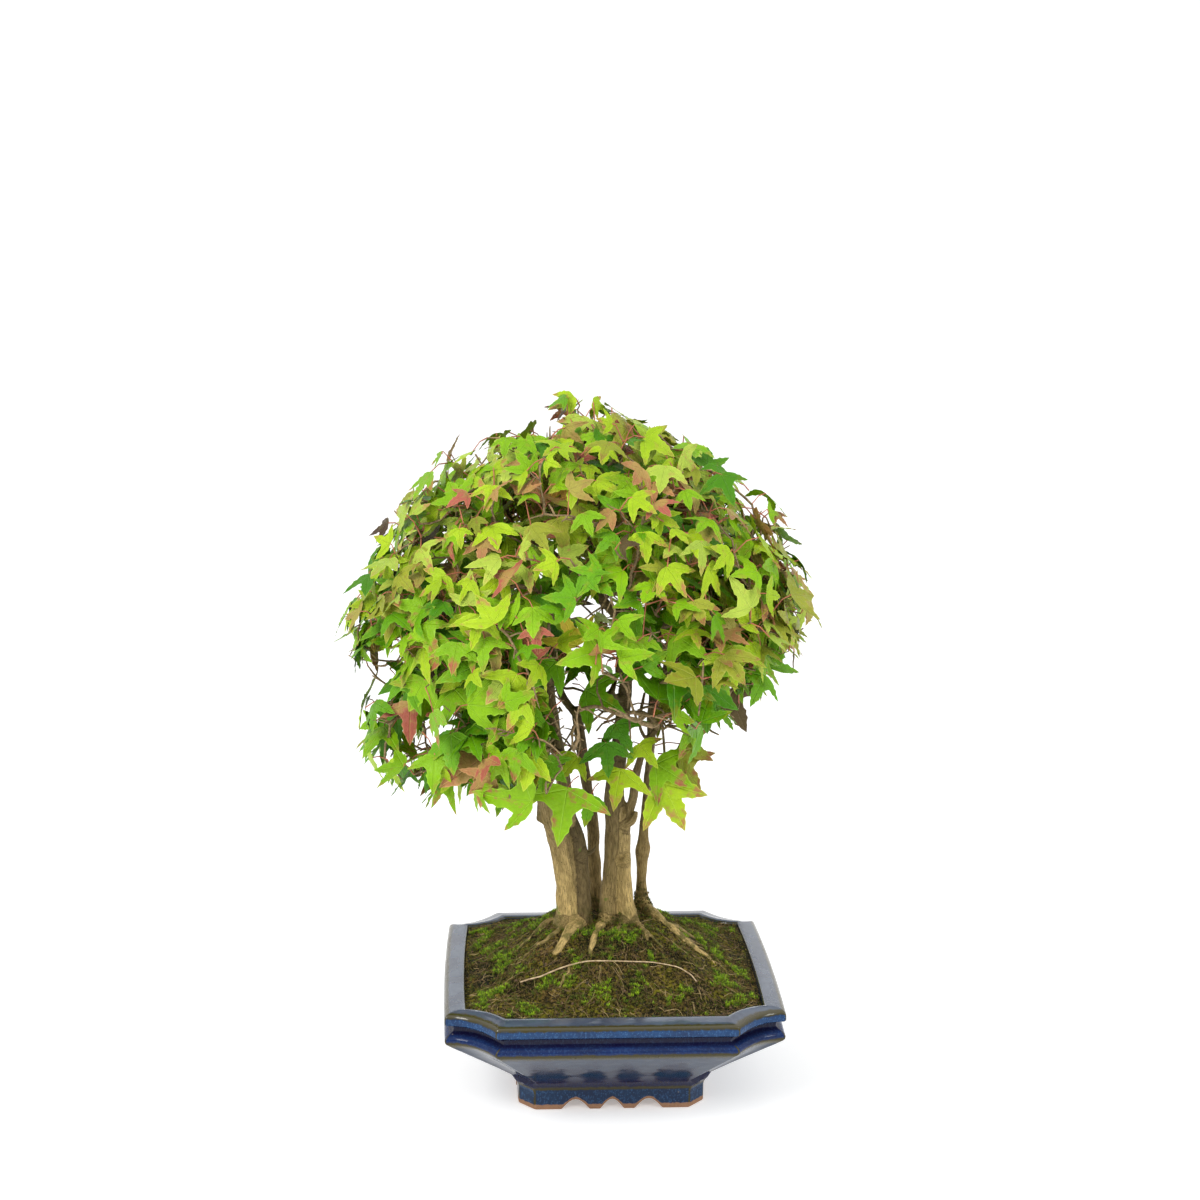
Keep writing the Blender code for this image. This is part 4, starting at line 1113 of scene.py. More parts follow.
def mound_point(edge_point, share):
    angle = math.atan2(edge_point.y / POT_DEPTH, edge_point.x / POT_WIDTH)
    flat = Vector((
        MOUND_CENTRE[0] + MOUND_HALF[0] * math.cos(angle),
        MOUND_CENTRE[1] + MOUND_HALF[1] * math.sin(angle),
    ))
    point = Vector((edge_point.x, edge_point.y)).lerp(flat, share)
    return point.x, point.y


def rough_ground(item, held):
    """Lumps, clods and crumbs; the outer edge stays against the pot."""
    mesh = item.data
    for index, vertex in enumerate(mesh.vertices):
        place = vertex.co * 1000.0
        lift = 1.5 * noise.noise(place / 26) + 1.1 * noise.noise(place / 9)
        lift += 0.75 * noise.noise(place / 3.6) + 0.45 * noise.noise(place / 1.7)
        away = min(1.0, held[index] / 6.0)
        vertex.co.z += lift * MM * (0.25 + 0.75 * away)
    mesh.update()


class MAPLE_OT_soil(bpy.types.Operator):
    """Build the mounded soil"""

    bl_idname = "maple.soil"
    bl_label = "Soil"

    def execute(self, context):
        settings = context.scene.maple_ground
        soil = drawn_rings("soil_mound", mound_rings(), False, True)
        apply_modifier(soil, "SUBSURF", subdivision_type="SIMPLE", levels=2, render_levels=2)
        limits = notched_outline(SOIL_INSET, INNER)
        sides = zip(limits, limits[1:] + limits[:1])
        tree = point_tree([a.lerp(b, step / 6).to_3d() for a, b in sides for step in range(6)])
        held = []
        for vertex in soil.data.vertices:
            p = (vertex.co - STAND) / MM
            held.append(tree.find((p.x, p.y, 0.0))[2])
        rough_ground(soil, held)
        finish_piece(soil, soil_material(settings), ["soil"], 60)
        return {"FINISHED"}


def ground_tree():
    mesh = bpy.data.objects["soil_mound"].data
    return BVHTree.FromPolygons([v.co for v in mesh.vertices], [tuple(f.vertices) for f in mesh.polygons])


def ground_at(tree, x, y):
    """The soil's surface and slope under a point in millimetres from the pot's middle."""
    place, normal, _, _ = tree.ray_cast(STAND + Vector((x * MM, y * MM, 1)), Vector((0, 0, -1)))
    return place, normal


def inside_rim(x, y, clear):
    """Whether a point in millimetres from the pot's middle lies inside its inner edge."""
    width = POT_WIDTH / 2 - SOIL_INSET - clear
    depth = POT_DEPTH / 2 - SOIL_INSET - clear
    if abs(x) > width or abs(y) > depth:
        return False
    return (width - abs(x)) / INNER[0] + (depth - abs(y)) / INNER[1] > 1.0


def random_spot(rng, half_x, half_y):
    return rng.uniform(-half_x, half_x), rng.uniform(-half_y, half_y)


def moss_share(x, y):
    """How thickly moss grows at a point: by named spots and by noise."""
    share = 0.0
    for spot_x, spot_y, radius in MOSS_SPOTS:
        reach = math.hypot(x - spot_x, y - spot_y) / radius
        share = max(share, 1.0 - reach * 0.55)
    field = noise.noise(Vector((x / 17, y / 17, 3.0))) + 0.6 * noise.noise(Vector((x / 7, y / 7, 9.0)))
    return max(0.0, min(1.0, 0.62 * share + 0.85 * field + 0.16))


def tuft_form(rng, blades, height, spread, width):
    """Vertices and faces of one tuft: blades of two faces that lean out from its foot."""
    vertices, faces = [], []
    for blade in range(blades):
        turn = 2 * math.pi * (blade + rng.uniform(0.0, 0.8)) / blades
        out = Vector((math.cos(turn), math.sin(turn), 0.0))
        side = Vector((-out.y, out.x, 0.0)) * width * rng.uniform(0.7, 1.2)
        tall = height * rng.uniform(0.55, 1.15)
        lean = spread * rng.uniform(0.4, 1.2)
        foot = out * spread * 0.25
        middle = foot + out * lean * 0.45 + Vector((0, 0, tall * 0.62))
        tip = foot + out * lean + Vector((0, 0, tall))
        base = len(vertices)
        vertices += [foot - side, foot + side, middle + side * 0.8, middle - side * 0.8, tip]
        faces += [(base, base + 1, base + 2, base + 3), (base + 3, base + 2, base + 4)]
    return np.array([tuple(v) for v in vertices]), faces


def scattered(name, forms, places):
    """Many small forms joined: places are (form, position, rotation matrix, scale)."""
    vertices, faces, base = [], [], 0
    for form, position, turn, scale in places:
        points, form_faces = forms[form][:2]
        vertices.append(points @ np.array(turn).T * scale + np.array(position))
        faces += [tuple(base + index for index in face) for face in form_faces]
        base += len(points)
    return mesh_from(name, np.concatenate(vertices), faces)


def standing(normal, spin):
    lean = Vector((0, 0, 1)).rotation_difference(normal).to_matrix()
    return lean @ Matrix.Rotation(spin, 3, "Z")


class MAPLE_OT_moss(bpy.types.Operator):
    """Scatter moss tufts over the soil, thickest in patches and round the trunks"""

    bl_idname = "maple.moss"
    bl_label = "Moss"

    def execute(self, context):
        settings = context.scene.maple_ground
        rng = random.Random(11)
        tree = ground_tree()
        forms = [tuft_form(rng, 6, 1.0, 0.75, 0.13) for _ in range(5)]
        dealt = {name: [] for name in MOSSES}
        tries = 0
        while sum(len(rows) for rows in dealt.values()) < settings.tufts and tries < MOSS_TRIES:
            tries += 1
            x, y = random_spot(rng, *MOSS_HALF)
            share = moss_share(x, y)
            if rng.random() > 0.06 + share ** 1.4 or not inside_rim(x, y, 1.5):
                continue
            place, normal = ground_at(tree, x, y)
            if place is None:
                continue
            size = rng.uniform(1.0, 2.3) * (0.7 + 0.8 * share) * MM
            if share > 0.66 and rng.random() < 0.6:
                name = "moss_fresh"
            else:
                name = "moss_green" if rng.random() < 0.35 + 0.4 * share else "moss_olive"
            turn = standing((normal + Vector((0, 0, 0.5))).normalized(), rng.uniform(0, FULL_TURN))
            dealt[name].append((rng.randrange(len(forms)), place - Vector((0, 0, 0.3 * MM)), turn, size))
        feet = [v for v in bpy.data.objects["limbs"].data.vertices if v.co.z < SOIL_TOP + MOSS_CLIMB * MM]
        for _ in range(settings.climbing):
            vertex = rng.choice(feet)
            x, y, height = (vertex.co - STAND) / MM - Vector((0, 0, SOIL_TOP / MM))
            if max(1 - math.hypot(x - a, y - b) / c for a, b, c in MOSSY_FEET) < max(height, 0) / MOSS_CLIMB:
                continue
            turn = standing((vertex.normal + Vector((0, 0, 0.6))).normalized(), rng.uniform(0, FULL_TURN))
            name = rng.choice(("moss_green", "moss_olive", "moss_olive"))
            size = rng.uniform(0.9, 2.0) * MM
            dealt[name].append((rng.randrange(len(forms)), vertex.co, turn, size))
        for name, rows in dealt.items():
            moss = scattered(name, forms, rows)
            finish_piece(moss, plain_grain_material(name, *MOSSES[name], 240.0, 0.7))
        return {"FINISHED"}


def strand(rng, tree, x, y, way, length, radius, bend):
    """A fine root that wanders over the soil, millimetres from the pot's middle."""
    rows = []
    step = 2.2
    count = max(3, int(length / step))
    turning = 0.0
    for index in range(count + 1):
        if not inside_rim(x, y, 1.5):
            break
        place, _ = ground_at(tree, x, y)
        if place is None:
            break
        share = index / count
        rise = radius * (0.35 + 0.9 * math.sin(share * math.pi) ** 2)
        thin = radius * (1.0 - 0.55 * share)
        rows.append((place.x, place.y, place.z + rise, thin))
        turning = 0.6 * turning + rng.uniform(-bend, bend)
        way += turning
        x += step * math.cos(way)
        y += step * math.sin(way)
    return rows


def crumb_forms(rng):
    forms = []
    for _ in range(4):
        deselect()
        bpy.ops.mesh.primitive_ico_sphere_add(subdivisions=1, radius=1.0)
        item = bpy.context.object
        vertices = np.array([tuple(v.co) for v in item.data.vertices])
        vertices *= np.array([[rng.uniform(0.6, 1.2)] for _ in vertices])
        vertices[:, 2] *= 0.6
        forms.append((vertices, [tuple(f.vertices) for f in item.data.polygons]))
        bpy.data.objects.remove(item, do_unlink=True)
    return forms


class MAPLE_OT_litter(bpy.types.Operator):
    """Lay fine roots, a long dry stem and crumbs on the soil"""

    bl_idname = "maple.litter"
    bl_label = "Litter"

    def execute(self, context):
        settings = context.scene.maple_ground
        rng = random.Random(5)
        tree = ground_tree()
        pale, brown = [], []
        while len(pale) + len(brown) < settings.rootlets:
            x, y = rng.uniform(-118, 118), rng.uniform(-104, 100)
            if not inside_rim(x, y, 4.0):
                continue
            way = math.atan2(y, x) + rng.uniform(-1.1, 1.1)
            radius = rng.choice((0.16, 0.2, 0.26, 0.42)) * MM
            rows = strand(rng, tree, x, y, way, rng.uniform(6, 22), radius, 0.34)
            if len(rows) > 3:
                (pale if rng.random() < 0.30 else brown).append(rows)
        dry = []
        for x, y in smooth_path(DRY_STEM, 6):
            place, _ = ground_at(tree, x, y)
            if place is None:
                continue
            dry.append([place.x, place.y, place.z, 0.75 * MM])
        heights = [row[2] for row in dry]
        for index, row in enumerate(dry):
            near = heights[max(0, index - 4):index + 5]
            row[2] = 0.5 * max(near) + 0.5 * sum(near) / len(near) + 0.7 * MM
            row[3] *= 1.0 - 0.45 * abs(index / (len(dry) - 1) - 0.25)
        stem = tubes("dry_stem", [dry], 1)
        finish_piece(stem, plain_grain_material("straw", *STRAW, 300.0, 0.6))
        for name, rows in (("rootlets_pale", pale), ("rootlets_brown", brown)):
            piece = tubes(name, rows, 0)
            finish_piece(piece, plain_grain_material(name, *ROOTLETS[name], 300.0, 0.8), angle=80)
        forms = crumb_forms(rng)
        dealt = {name: [] for name in CRUMBS}
        while sum(len(rows) for rows in dealt.values()) < settings.crumbs:
            x, y = random_spot(rng, *CRUMB_HALF)
            if not inside_rim(x, y, 2.5):
                continue
            place, normal = ground_at(tree, x, y)
            if place is None:
                continue
            size = rng.uniform(0.35, 1.15) * MM * (1.9 if rng.random() < 0.05 else 1.0)
            kind = "crumbs_brown" if rng.random() < 0.4 else "crumbs_dark"
            dealt[kind].append((rng.randrange(4), place, standing(normal, rng.uniform(0, FULL_TURN)), size))
        for name, tones in CRUMBS.items():
            piece = scattered(name, forms, dealt[name])
            finish_piece(piece, plain_grain_material(name, *tones, 500.0, 0.85))
        return {"FINISHED"}


# ---- limbs
def over_soil(x, y, height, radius=None):
    place = (STAND.x + x * MM, STAND.y + y * MM, SOIL_TOP + height * MM)
    return place if radius is None else (*place, radius * MM)


def trunk_axis(name):
    rows = [over_soil(x, y, height) for height, x, y in TRUNK_AXES[name]]
    return [Vector(row) for row in smooth_path(rows, 2)]


def axis_point(name, height):
    level = SOIL_TOP + height * MM
    path = trunk_axis(name) if name in TRUNK_AXES else [Vector(row[:3]) for row in bough_path(name, 2)]
    for low, high in zip(path, path[1:]):
        if low.z <= level <= high.z:
            return low.lerp(high, (level - low.z) / (high.z - low.z))
    return path[-1] if level > path[-1].z else path[0]


def bough_path(name, steps):
    carrier, height, start_x, thick, thin, passed = BOUGHS[name]
    start = axis_point(carrier, height)
    if start_x is not None:
        start.x = STAND.x + start_x * MM
    rows = [tuple(start)] + [over_soil(*station) for station in passed]
    path = smooth_path(rows, steps)
    last = len(path) - 1
    return [(*point, (thick + (thin - thick) * index / last) * MM) for index, point in enumerate(path)]


def knobbly(path, seed, amount):
    """A path whose radius swells and sinks a little along it."""
    rows = []
    for x, y, z, radius in path:
        swell = noise.noise(Vector((x * 70 + seed, y * 70, z * 70)))
        rows.append((x, y, z, radius * (1.0 + amount * swell)))
    return rows


def limb_paths():
    paths = []
    for number, rows in enumerate(STEMS.values()):
        stations = [over_soil(x, y, height, radius) for height, x, y, radius in rows]
        paths.append(knobbly(smooth_path(stations, 5), number * 7.3, 0.14))
    for number, name in enumerate(BOUGHS):
        paths.append(knobbly(bough_path(name, 7), 90 + number * 5.1, 0.26))
    for number, stub in enumerate(STUBS):
        stations = [over_soil(x, y, height, radius) for x, y, height, radius in stub]
        paths.append(knobbly(smooth_path(stations, 4), 200 + number * 3.7, 0.2))
    return paths


def root_paths(tree):
    paths = []
    for number, (thick, thin, stations) in enumerate(ROOTS):
        path = smooth_path(stations, 7)
        last = len(path) - 1
        rows = []
        for index, (x, y) in enumerate(path):
            radius = thick + (thin - thick) * (index / last) ** 1.3
            x += 2.6 * noise.noise(Vector((index * 0.45, number * 9.0, 0.0)))
            y += 2.6 * noise.noise(Vector((index * 0.45, number * 9.0, 5.0)))
            place, _ = ground_at(tree, x, y)
            if place is None:
                continue
            sink = 0.12 - 1.1 * max(0.0, index / last - 0.7) / 0.3
            rows.append((place.x, place.y, place.z + radius * sink * MM, radius * MM))
        paths.append(knobbly(rows, 300 + number * 4.9, 0.75))
    return paths


def limb_frames(paths):
    """Points along every limb with the way it runs, two ways across it, and its length so far."""
    rows = []
    tones = LIMB_TONES_AND_SHADE + (0.3,) * len(BOUGHS) + STUB_TONES
    for number, path in enumerate(paths):
        points = [Vector(row[:3]) for row in path]
        root_tone = 0.0 if path[0][3] > 4.5 * MM else 0.4
        tone = tones[number] if number < len(tones) else root_tone
        length = number * 1.7
        across = None
        for index, point in enumerate(points):
            ahead = points[min(index + 1, len(points) - 1)]
            behind = points[max(index - 1, 0)]
            along = (ahead - behind).normalized()
            if across is None:
                across = along.orthogonal().normalized()
            across = (across - along * across.dot(along)).normalized()
            if index:
                length += (point - points[index - 1]).length
            rows.append((point, along, across.copy(), along.cross(across), length, tone))
    return rows


def bark_relief(item, paths, depth):
    """Furrows along each limb, broad lumps, and the grain's own coordinates for its finish."""
    rows = limb_frames(paths)
    tree = point_tree([row[0] for row in rows])
    hole = Vector(over_soil(*KNOT_HOLE))
    mesh = item.data
    grain = np.zeros((len(mesh.vertices), 3), np.float32)
    tone = np.zeros(len(mesh.vertices), np.float32)
    moved = np.zeros((len(mesh.vertices), 3), np.float32)
    for index, vertex in enumerate(mesh.vertices):
        centre, along, across, other, length, tone[index] = rows[tree.find(vertex.co)[1]]
        offset = vertex.co - centre
        u, w, s = offset.dot(across), offset.dot(other), length + offset.dot(along)
        grain[index] = (u, w, s)
        lift = 0.55 * noise.noise(Vector((u * 230, w * 230, s * 38)))
        lift += 0.35 * noise.noise(Vector((u * 560, w * 560, s * 95)))
        lift += 0.75 * noise.noise(Vector((u * 75, w * 75, s * 62)))
        lift += 0.22 * noise.noise(vertex.co * 700)
        moved[index] = vertex.co + vertex.normal * lift * depth
        # The knot hole is pushed into the trunk and painted darkest: painted shade in the hole.
        if (vertex.co - hole).length < 2.6 * MM:
            tone[index] = 1.0
            moved[index] += (0.0, 0.0016, 0.0)
    mesh.vertices.foreach_set("co", moved.ravel())
    point_values(mesh, "grain", "FLOAT_VECTOR", "vector", grain)
    point_values(mesh, "tone", "FLOAT", "value", tone)
    mesh.update()


class MAPLE_OT_limbs(bpy.types.Operator):
    """Grow the trunks, boughs and surface roots into one barked skin"""

    bl_idname = "maple.limbs"
    bl_label = "Trunks, boughs and roots"

    def execute(self, context):
        settings = context.scene.maple_bark
        paths = limb_paths() + root_paths(ground_tree())
        limbs = tubes("limbs", paths, 3)
        apply_modifier(limbs, "REMESH", mode="VOXEL", voxel_size=settings.voxel)
        apply_modifier(limbs, "SMOOTH", factor=0.5, iterations=3)
        bark_relief(limbs, paths, settings.relief)
        limbs.data.materials.clear()
        covered = [name for name in NODES if name.startswith(("trunk_", "bough_", "root_"))]
        finish_piece(limbs, bark_material(settings), covered, 180)
        return {"FINISHED"}


# ---- the crown's growth
def in_crown(point):
    """How far out a point lies in the crown: 0 at its centre, 1 on its outline."""
    offset = point - CROWN_CENTRE
    plan = math.hypot(offset.x / CROWN_HALF[0], offset.y / CROWN_HALF[1])
    if offset.z >= 0:
        return math.hypot(plan, offset.z / CROWN_HALF[2])
    turn = ramp(offset.x, DROP_TURN)
    drop = CROWN_DROP_LEFT + (CROWN_DROP_RIGHT - CROWN_DROP_LEFT) * turn
    return (plan ** DROP_POWER + (-offset.z / drop) ** DROP_POWER) ** (1 / DROP_POWER)


def segment_distance(point, start, end):
    along = end - start
    share = ramp((point - start).dot(along), along.length_squared)
    return (point - start - along * share).length


def seen_at(point):
    """Where a point lies on the plane y = 0 as seen from the front: x and height, millimetres."""
    place = (point - STAND) / MM
    return place.x - place.y * SIGHT[0], place.z + place.y * SIGHT[1]


def in_window(point):
    x, height = seen_at(point)
    return any(math.hypot(x - spot[0], height - spot[1]) < spot[2] for spot in WINDOWS)


def in_clearing(point, draw):
    """Whether a leaf here is dropped, so that the limbs behind it show."""
    x, height = seen_at(point)
    return any(a < x < b and low < height < high and draw > kept for a, b, low, high, kept in CLEARINGS)


class MassSpace:
    """The space of one mass: nearer to its own stem than to any other mass's stem."""

    def __init__(self, name, spines):
        self.start, self.heart, self.along = spines[name]
        self.others = [spine[:2] for other, spine in spines.items() if other != name]
        ball = MASSES[name][2]
        self.ball = None if ball is None else ball * MM

    def outwardness(self, point):
        if self.ball is None:
            return in_crown(point)
        return (point - self.heart).length / self.ball

    def holds(self, point):
        if self.outwardness(point) > 1.0:
            return False
        own = segment_distance(point, self.start, self.heart)
        nearest = min(segment_distance(point, a, b) for a, b in self.others)
        return nearest - own > 2 * MASS_MARGIN


def limb_tip(name):
    """Where a limb ends, the way it runs there, and its radius."""
    if name in TRUNK_AXES:
        height, x, y, _ = STEMS["main_left"][-1]
        return Vector(over_soil(x, y, height)), Vector((0, 0, 1)), TOP_RADIUS
    path = bough_path(name, 2)
    end, before = Vector(path[-1][:3]), Vector(path[-2][:3])
    return end, (end - before).normalized(), path[-1][3]


def mass_spines():
    spines, radii = {}, {}
    for name, (carrier, heart, _, _) in MASSES.items():
        tip, along, radii[name] = limb_tip(carrier)
        spines[name] = (tip, STAND + Vector(heart) * MM, along)
    return spines, radii


def even_targets(space, rng, count, low, high, tries):
    """Points spread evenly through a mass, each far from those before."""
    choices = []
    for _ in range(tries):
        point = space.heart + Vector([rng.uniform(-MASS_REACH, MASS_REACH) for _ in range(3)])
        if low <= space.outwardness(point) <= high and space.holds(point) and not (
            in_window(point) or off_crown(point, -8)
        ):
            choices.append(point)
        if len(choices) >= count * 7:
            break
    if not choices:
        return []
    rows = np.array([tuple(point) for point in choices])
    chosen = [0]
    room = np.linalg.norm(rows - rows[0], axis=1)
    while len(chosen) < min(count, len(choices)):
        best = int(room.argmax())
        chosen.append(best)
        room = np.minimum(room, np.linalg.norm(rows - rows[best], axis=1))
    return [choices[index] for index in chosen]


class Growth:
    """One mass's stem, shoots and leaf places."""

    def __init__(self, name, space, radius, settings):
        self.rng = random.Random(settings.seed * 100 + sorted(MASSES).index(name))
        self.space = space
        self.radius = radius
        self.places = [space.start, space.start + space.along * STEM_KNEE]
        self.parents = [-1, 0]
        knee = self.places[1]
        for share in STEM_NODES:
            bow = Vector((0, 0, 0.012 * math.sin(share * math.pi)))
            self.parents.append(len(self.places) - 1)
            self.places.append(knee.lerp(space.heart, share) + bow)
        self.tips = []
        count = round(settings.sprays * MASSES[name][3])
        targets = even_targets(space, self.rng, count, 0.50, 0.92, 9000)
        targets.sort(key=lambda point: (point - space.start).length)
        for target in targets:
            self.reach(target)
        self.load = [1] * len(self.places)
        for index in range(len(self.places) - 1, 0, -1):
            self.load[self.parents[index]] += self.load[index]

    def reach(self, target):
        """Grow a shoot of three bowed pieces to a point from the best place on the mass."""
        best, best_cost = 1, 1e9
        for index in range(1, len(self.places)):
            place = self.places[index]
            way = target - place
            cost = way.length
            if self.parents[index] >= 0 and cost > 1e-6:
                back = (place - self.places[self.parents[index]]).normalized()
                cost *= 1.0 + 0.35 * (1.0 - way.normalized().dot(back))
            if cost < best_cost:
                best, best_cost = index, cost
        start = self.places[best]
        span = (target - start).length
        bow = jitter(self.rng, 0.10) * span
        bow.z += span * 0.05
        parent = best
        pieces = max(3, round(span / (9 * MM)))
        for step in range(1, pieces + 1):
            share = step / pieces
            point = start.lerp(target, share) + bow * math.sin(share * math.pi)
            if step < pieces:
                point += jitter(self.rng, 1.7 * MM)
            self.parents.append(parent)
            parent = len(self.places)
            self.places.append(point)
        self.tips.append(parent)

    def thickness(self, index):
        """Radius by what a place carries: shoots are thin, the stem is as its limb's tip."""
        full = max(self.load[1], 2)
        fine = 0.62 * MM
        share = (self.load[index] - 1) / (full - 1)
        return fine + (self.radius - fine) * share ** 0.55

    def paths(self):
        """Splines of (x, y, z, radius): each runs on along the thickest child."""
        children = {}
        for index, parent in enumerate(self.parents):
            children.setdefault(parent, []).append(index)
        rows, starts = [], [(None, 0)]
        while starts:
            before, index = starts.pop()
            path = [] if before is None else [(*self.places[before], self.thickness(index))]
            while True:
                path.append((*self.places[index], self.thickness(index)))
                following = sorted(children.get(index, []), key=lambda i: -self.load[i])
                if not following:
                    break
                starts += [(index, other) for other in following[1:]]
                index = following[0]
            rows.append(path)
        return rows

    def spurs(self):
        """Short bare side twigs that stand off the shoots."""
        rows = []
        for index in range(3, len(self.places)):
            start = self.places[index]
            if self.rng.random() > 0.5 or off_crown(start, -22):
                continue
            along = (start - self.places[self.parents[index]]).normalized()
            side = along.orthogonal().normalized()
            side.rotate(Matrix.Rotation(self.rng.uniform(0, FULL_TURN), 3, along))
            way = (side + along * 0.7 + Vector((0, 0, 0.25))).normalized()
            length = self.rng.uniform(4, 12) * MM
            thick = min(self.thickness(index), 1.1 * MM) * 0.8
            bend = start + way * length * 0.55 + side * length * 0.08
            rows.append([(*start, thick), (*bend, thick * 0.8), (*(start + way * length), thick * 0.62)])
        return rows


_grown = {}


def grown_crown(settings):
    key = (settings.seed, settings.sprays)
    if key not in _grown:
        spines, radii = mass_spines()
        _grown[key] = {
            name: Growth(name, MassSpace(name, spines), radii[name], settings) for name in MASSES
        }
    return _grown[key]


def leaf_rows(growth, settings, rng):
    """Leaves on a mass: (stalk's path, blade's foot, way, face, length), by shoot."""
    sprays = []
    for tip in growth.tips:
        end = growth.places[tip]
        along = (end - growth.places[growth.parents[tip]]).normalized()
        spray = []
        pairs = rng.choices((1, 2, 3), (0.2, 0.5, 0.3))[0]
        spin = rng.uniform(0, math.pi)
        for pair in range(pairs):
            node = end - along * pair * rng.uniform(7, 13) * MM
            for half in (0, 1):
                if rng.random() < 0.08:
                    continue
                row = one_leaf(growth, settings, rng, node, along, spin + pair * 1.57 + half * math.pi)
                if row is not None:
                    spray.append(row)
        if spray:
            sprays.append(spray)
    return sprays


def one_leaf(growth, settings, rng, node, along, turn):
    out = node - CROWN_CENTRE
    out = Vector((out.x / CROWN_HALF[0], out.y / CROWN_HALF[1], out.z / CROWN_HALF[2])).normalized()
    flat = Vector((out.x, out.y, 0.0))
    flat = flat.normalized() if flat.length > 1e-5 else Vector((1, 0, 0))
    side = along.orthogonal().normalized()
    side.rotate(Matrix.Rotation(turn, 3, along))
    low = ramp(LOW_LINE - node.z, LOW_DEPTH)
    stalk = rng.uniform(*STALKS) * MM
    lead = (side * 0.9 + out * 0.5 + Vector((0, 0, 0.35))).normalized()
    foot = node + lead * stalk + Vector((0, 0, -0.15 * stalk))
    face = flat * (0.62 + 0.20 * low) + out * 0.20 + Vector((0, 0, 0.64 - 0.22 * low))
    face += jitter(rng, 0.60 + 0.25 * low)
    face.normalize()
    way = side * 0.85 + flat * 0.36 + Vector((0, 0, -0.30 - 0.55 * low)) + jitter(rng, 0.55)
    way -= face * way.dot(face)
    way.normalize()
    longest = settings.leaf_long + (settings.leaf_low - settings.leaf_long) * low
    length = settings.leaf_short + (longest - settings.leaf_short) * rng.random() ** 1.3
    length *= 1.0 - TOP_SHRINK * ramp(node.z - TOP_LINE, TOP_DEPTH)
    limit = rng.uniform(0.95, 1.04)
    for _ in range(3):
        if all(reach_allows(growth.space, foot + way * length * share, limit) for share in (0.1, 1.0)):
            break
        length *= 0.85
        foot = node.lerp(foot, 0.75)
    else:
        return None
    wing = way.cross(face) * length
    spots = [foot + way * length * ahead + wing * aside for ahead, aside in LEAF_SPOTS]
    draw = rng.random()
    if any(in_window(spot) or in_clearing(spot, draw) for spot in spots):
        return None
    give = rng.uniform(-5, 9)
    if off_crown(foot, give) or off_crown(foot + way * length * 0.9, give):
        return None
    bend = node + lead * stalk * 0.5 + Vector((0, 0, 0.06 * stalk))
    return ((node, bend, foot), foot, way, face, length)


def jitter(rng, amount):
    return Vector([rng.uniform(-amount, amount) for _ in range(3)])


def reach_allows(space, point, limit):
    return space.outwardness(point) <= limit or in_crown(point) <= limit


def off_crown(point, give):
    """Whether a point lies past the crown's upper or lower edge, as seen from the front."""
    x, height = seen_at(point)
    return not np.interp(x, *zip(*LEAF_FLOOR)) - give <= height <= np.interp(x, *zip(*LEAF_ROOF)) + give - 6


# ---- leaves
def leaf_outline(spread, right, left, width):
    """Rib points, then edge points (x, y, rib), of a leaf of length 1, foot at the origin."""
    angle = math.radians(spread)
    along = Vector((math.sin(angle), math.cos(angle)))
    across = Vector((along.y, -along.x)) * width
    sides = []
    for lobe in (right, left):
        edge = [(*((along * a + across * b) * lobe), rib) for a, b, rib in SIDE_LOBE]
        sides.append(edge + [(x * width, y, rib) for x, y, rib in MIDDLE_LOBE])
    ribs = [(0.0, 0.0)] + [tuple(along * right * r) for r in LOBE_RIBS]
    ribs += [(0.0, r) for r in LOBE_RIBS] + [(-along.x * left * r, along.y * left * r) for r in LOBE_RIBS]
    mirrored = {0: 0, 1: 5, 2: 6, 3: 3, 4: 4}
    outline = sides[0] + [(-x, y, mirrored[rib]) for x, y, rib in reversed(sides[1][:-1])]
    return ribs, outline


def leaf_form(spread, right, left, width, tip_droop, side_droop, fold, twist):
    """Vertices, faces, own map and margin mask of one leaf of length 1."""
    ribs, outline = leaf_outline(spread, right, left, width)
    flat = ribs + [(x, y) for x, y, _ in outline]
    directions = [Vector(ribs[2]).normalized(), Vector((0.0, 1.0)), Vector(ribs[6]).normalized()]
    vertices = []
    for number, (x, y) in enumerate(flat):
        away = min(abs(x * d.y - y * d.x) if x * d.x + y * d.y > 0 else math.hypot(x, y) for d in directions)
        z = fold * away + twist * x * y
        z -= tip_droop * max(y, 0.0) ** 2 * 0.6 + side_droop * abs(x) ** 1.6
        z += 0.012 * math.sin(number * 2.4)
        vertices.append((x, y, z))
    faces = [(0, 1, 3), (0, 3, 5)]
    count, first = len(outline), len(ribs)
    for index in range(count - 1):
        rib, after = outline[index][2], outline[index + 1][2]
        faces.append((rib, first + index, first + index + 1))
        if rib != after:
            faces.append((rib, first + index + 1, after))
    faces.append((0, first + count - 1, first))
    even_ribs, even_outline = leaf_outline(*EVEN_FORM)
    maps = [(x + 0.5, y) for x, y, *_ in even_ribs + even_outline]
    return np.array(vertices), faces, np.array(maps), [0.0] * first + [1.0] * count


def leaf_turn(way, face):
    """Turns a leaf's side, length and upper face to the ways given."""
    side = way.cross(face).normalized()
    up = side.cross(way).normalized()
    return np.array([tuple(side), tuple(way), tuple(up)]).T


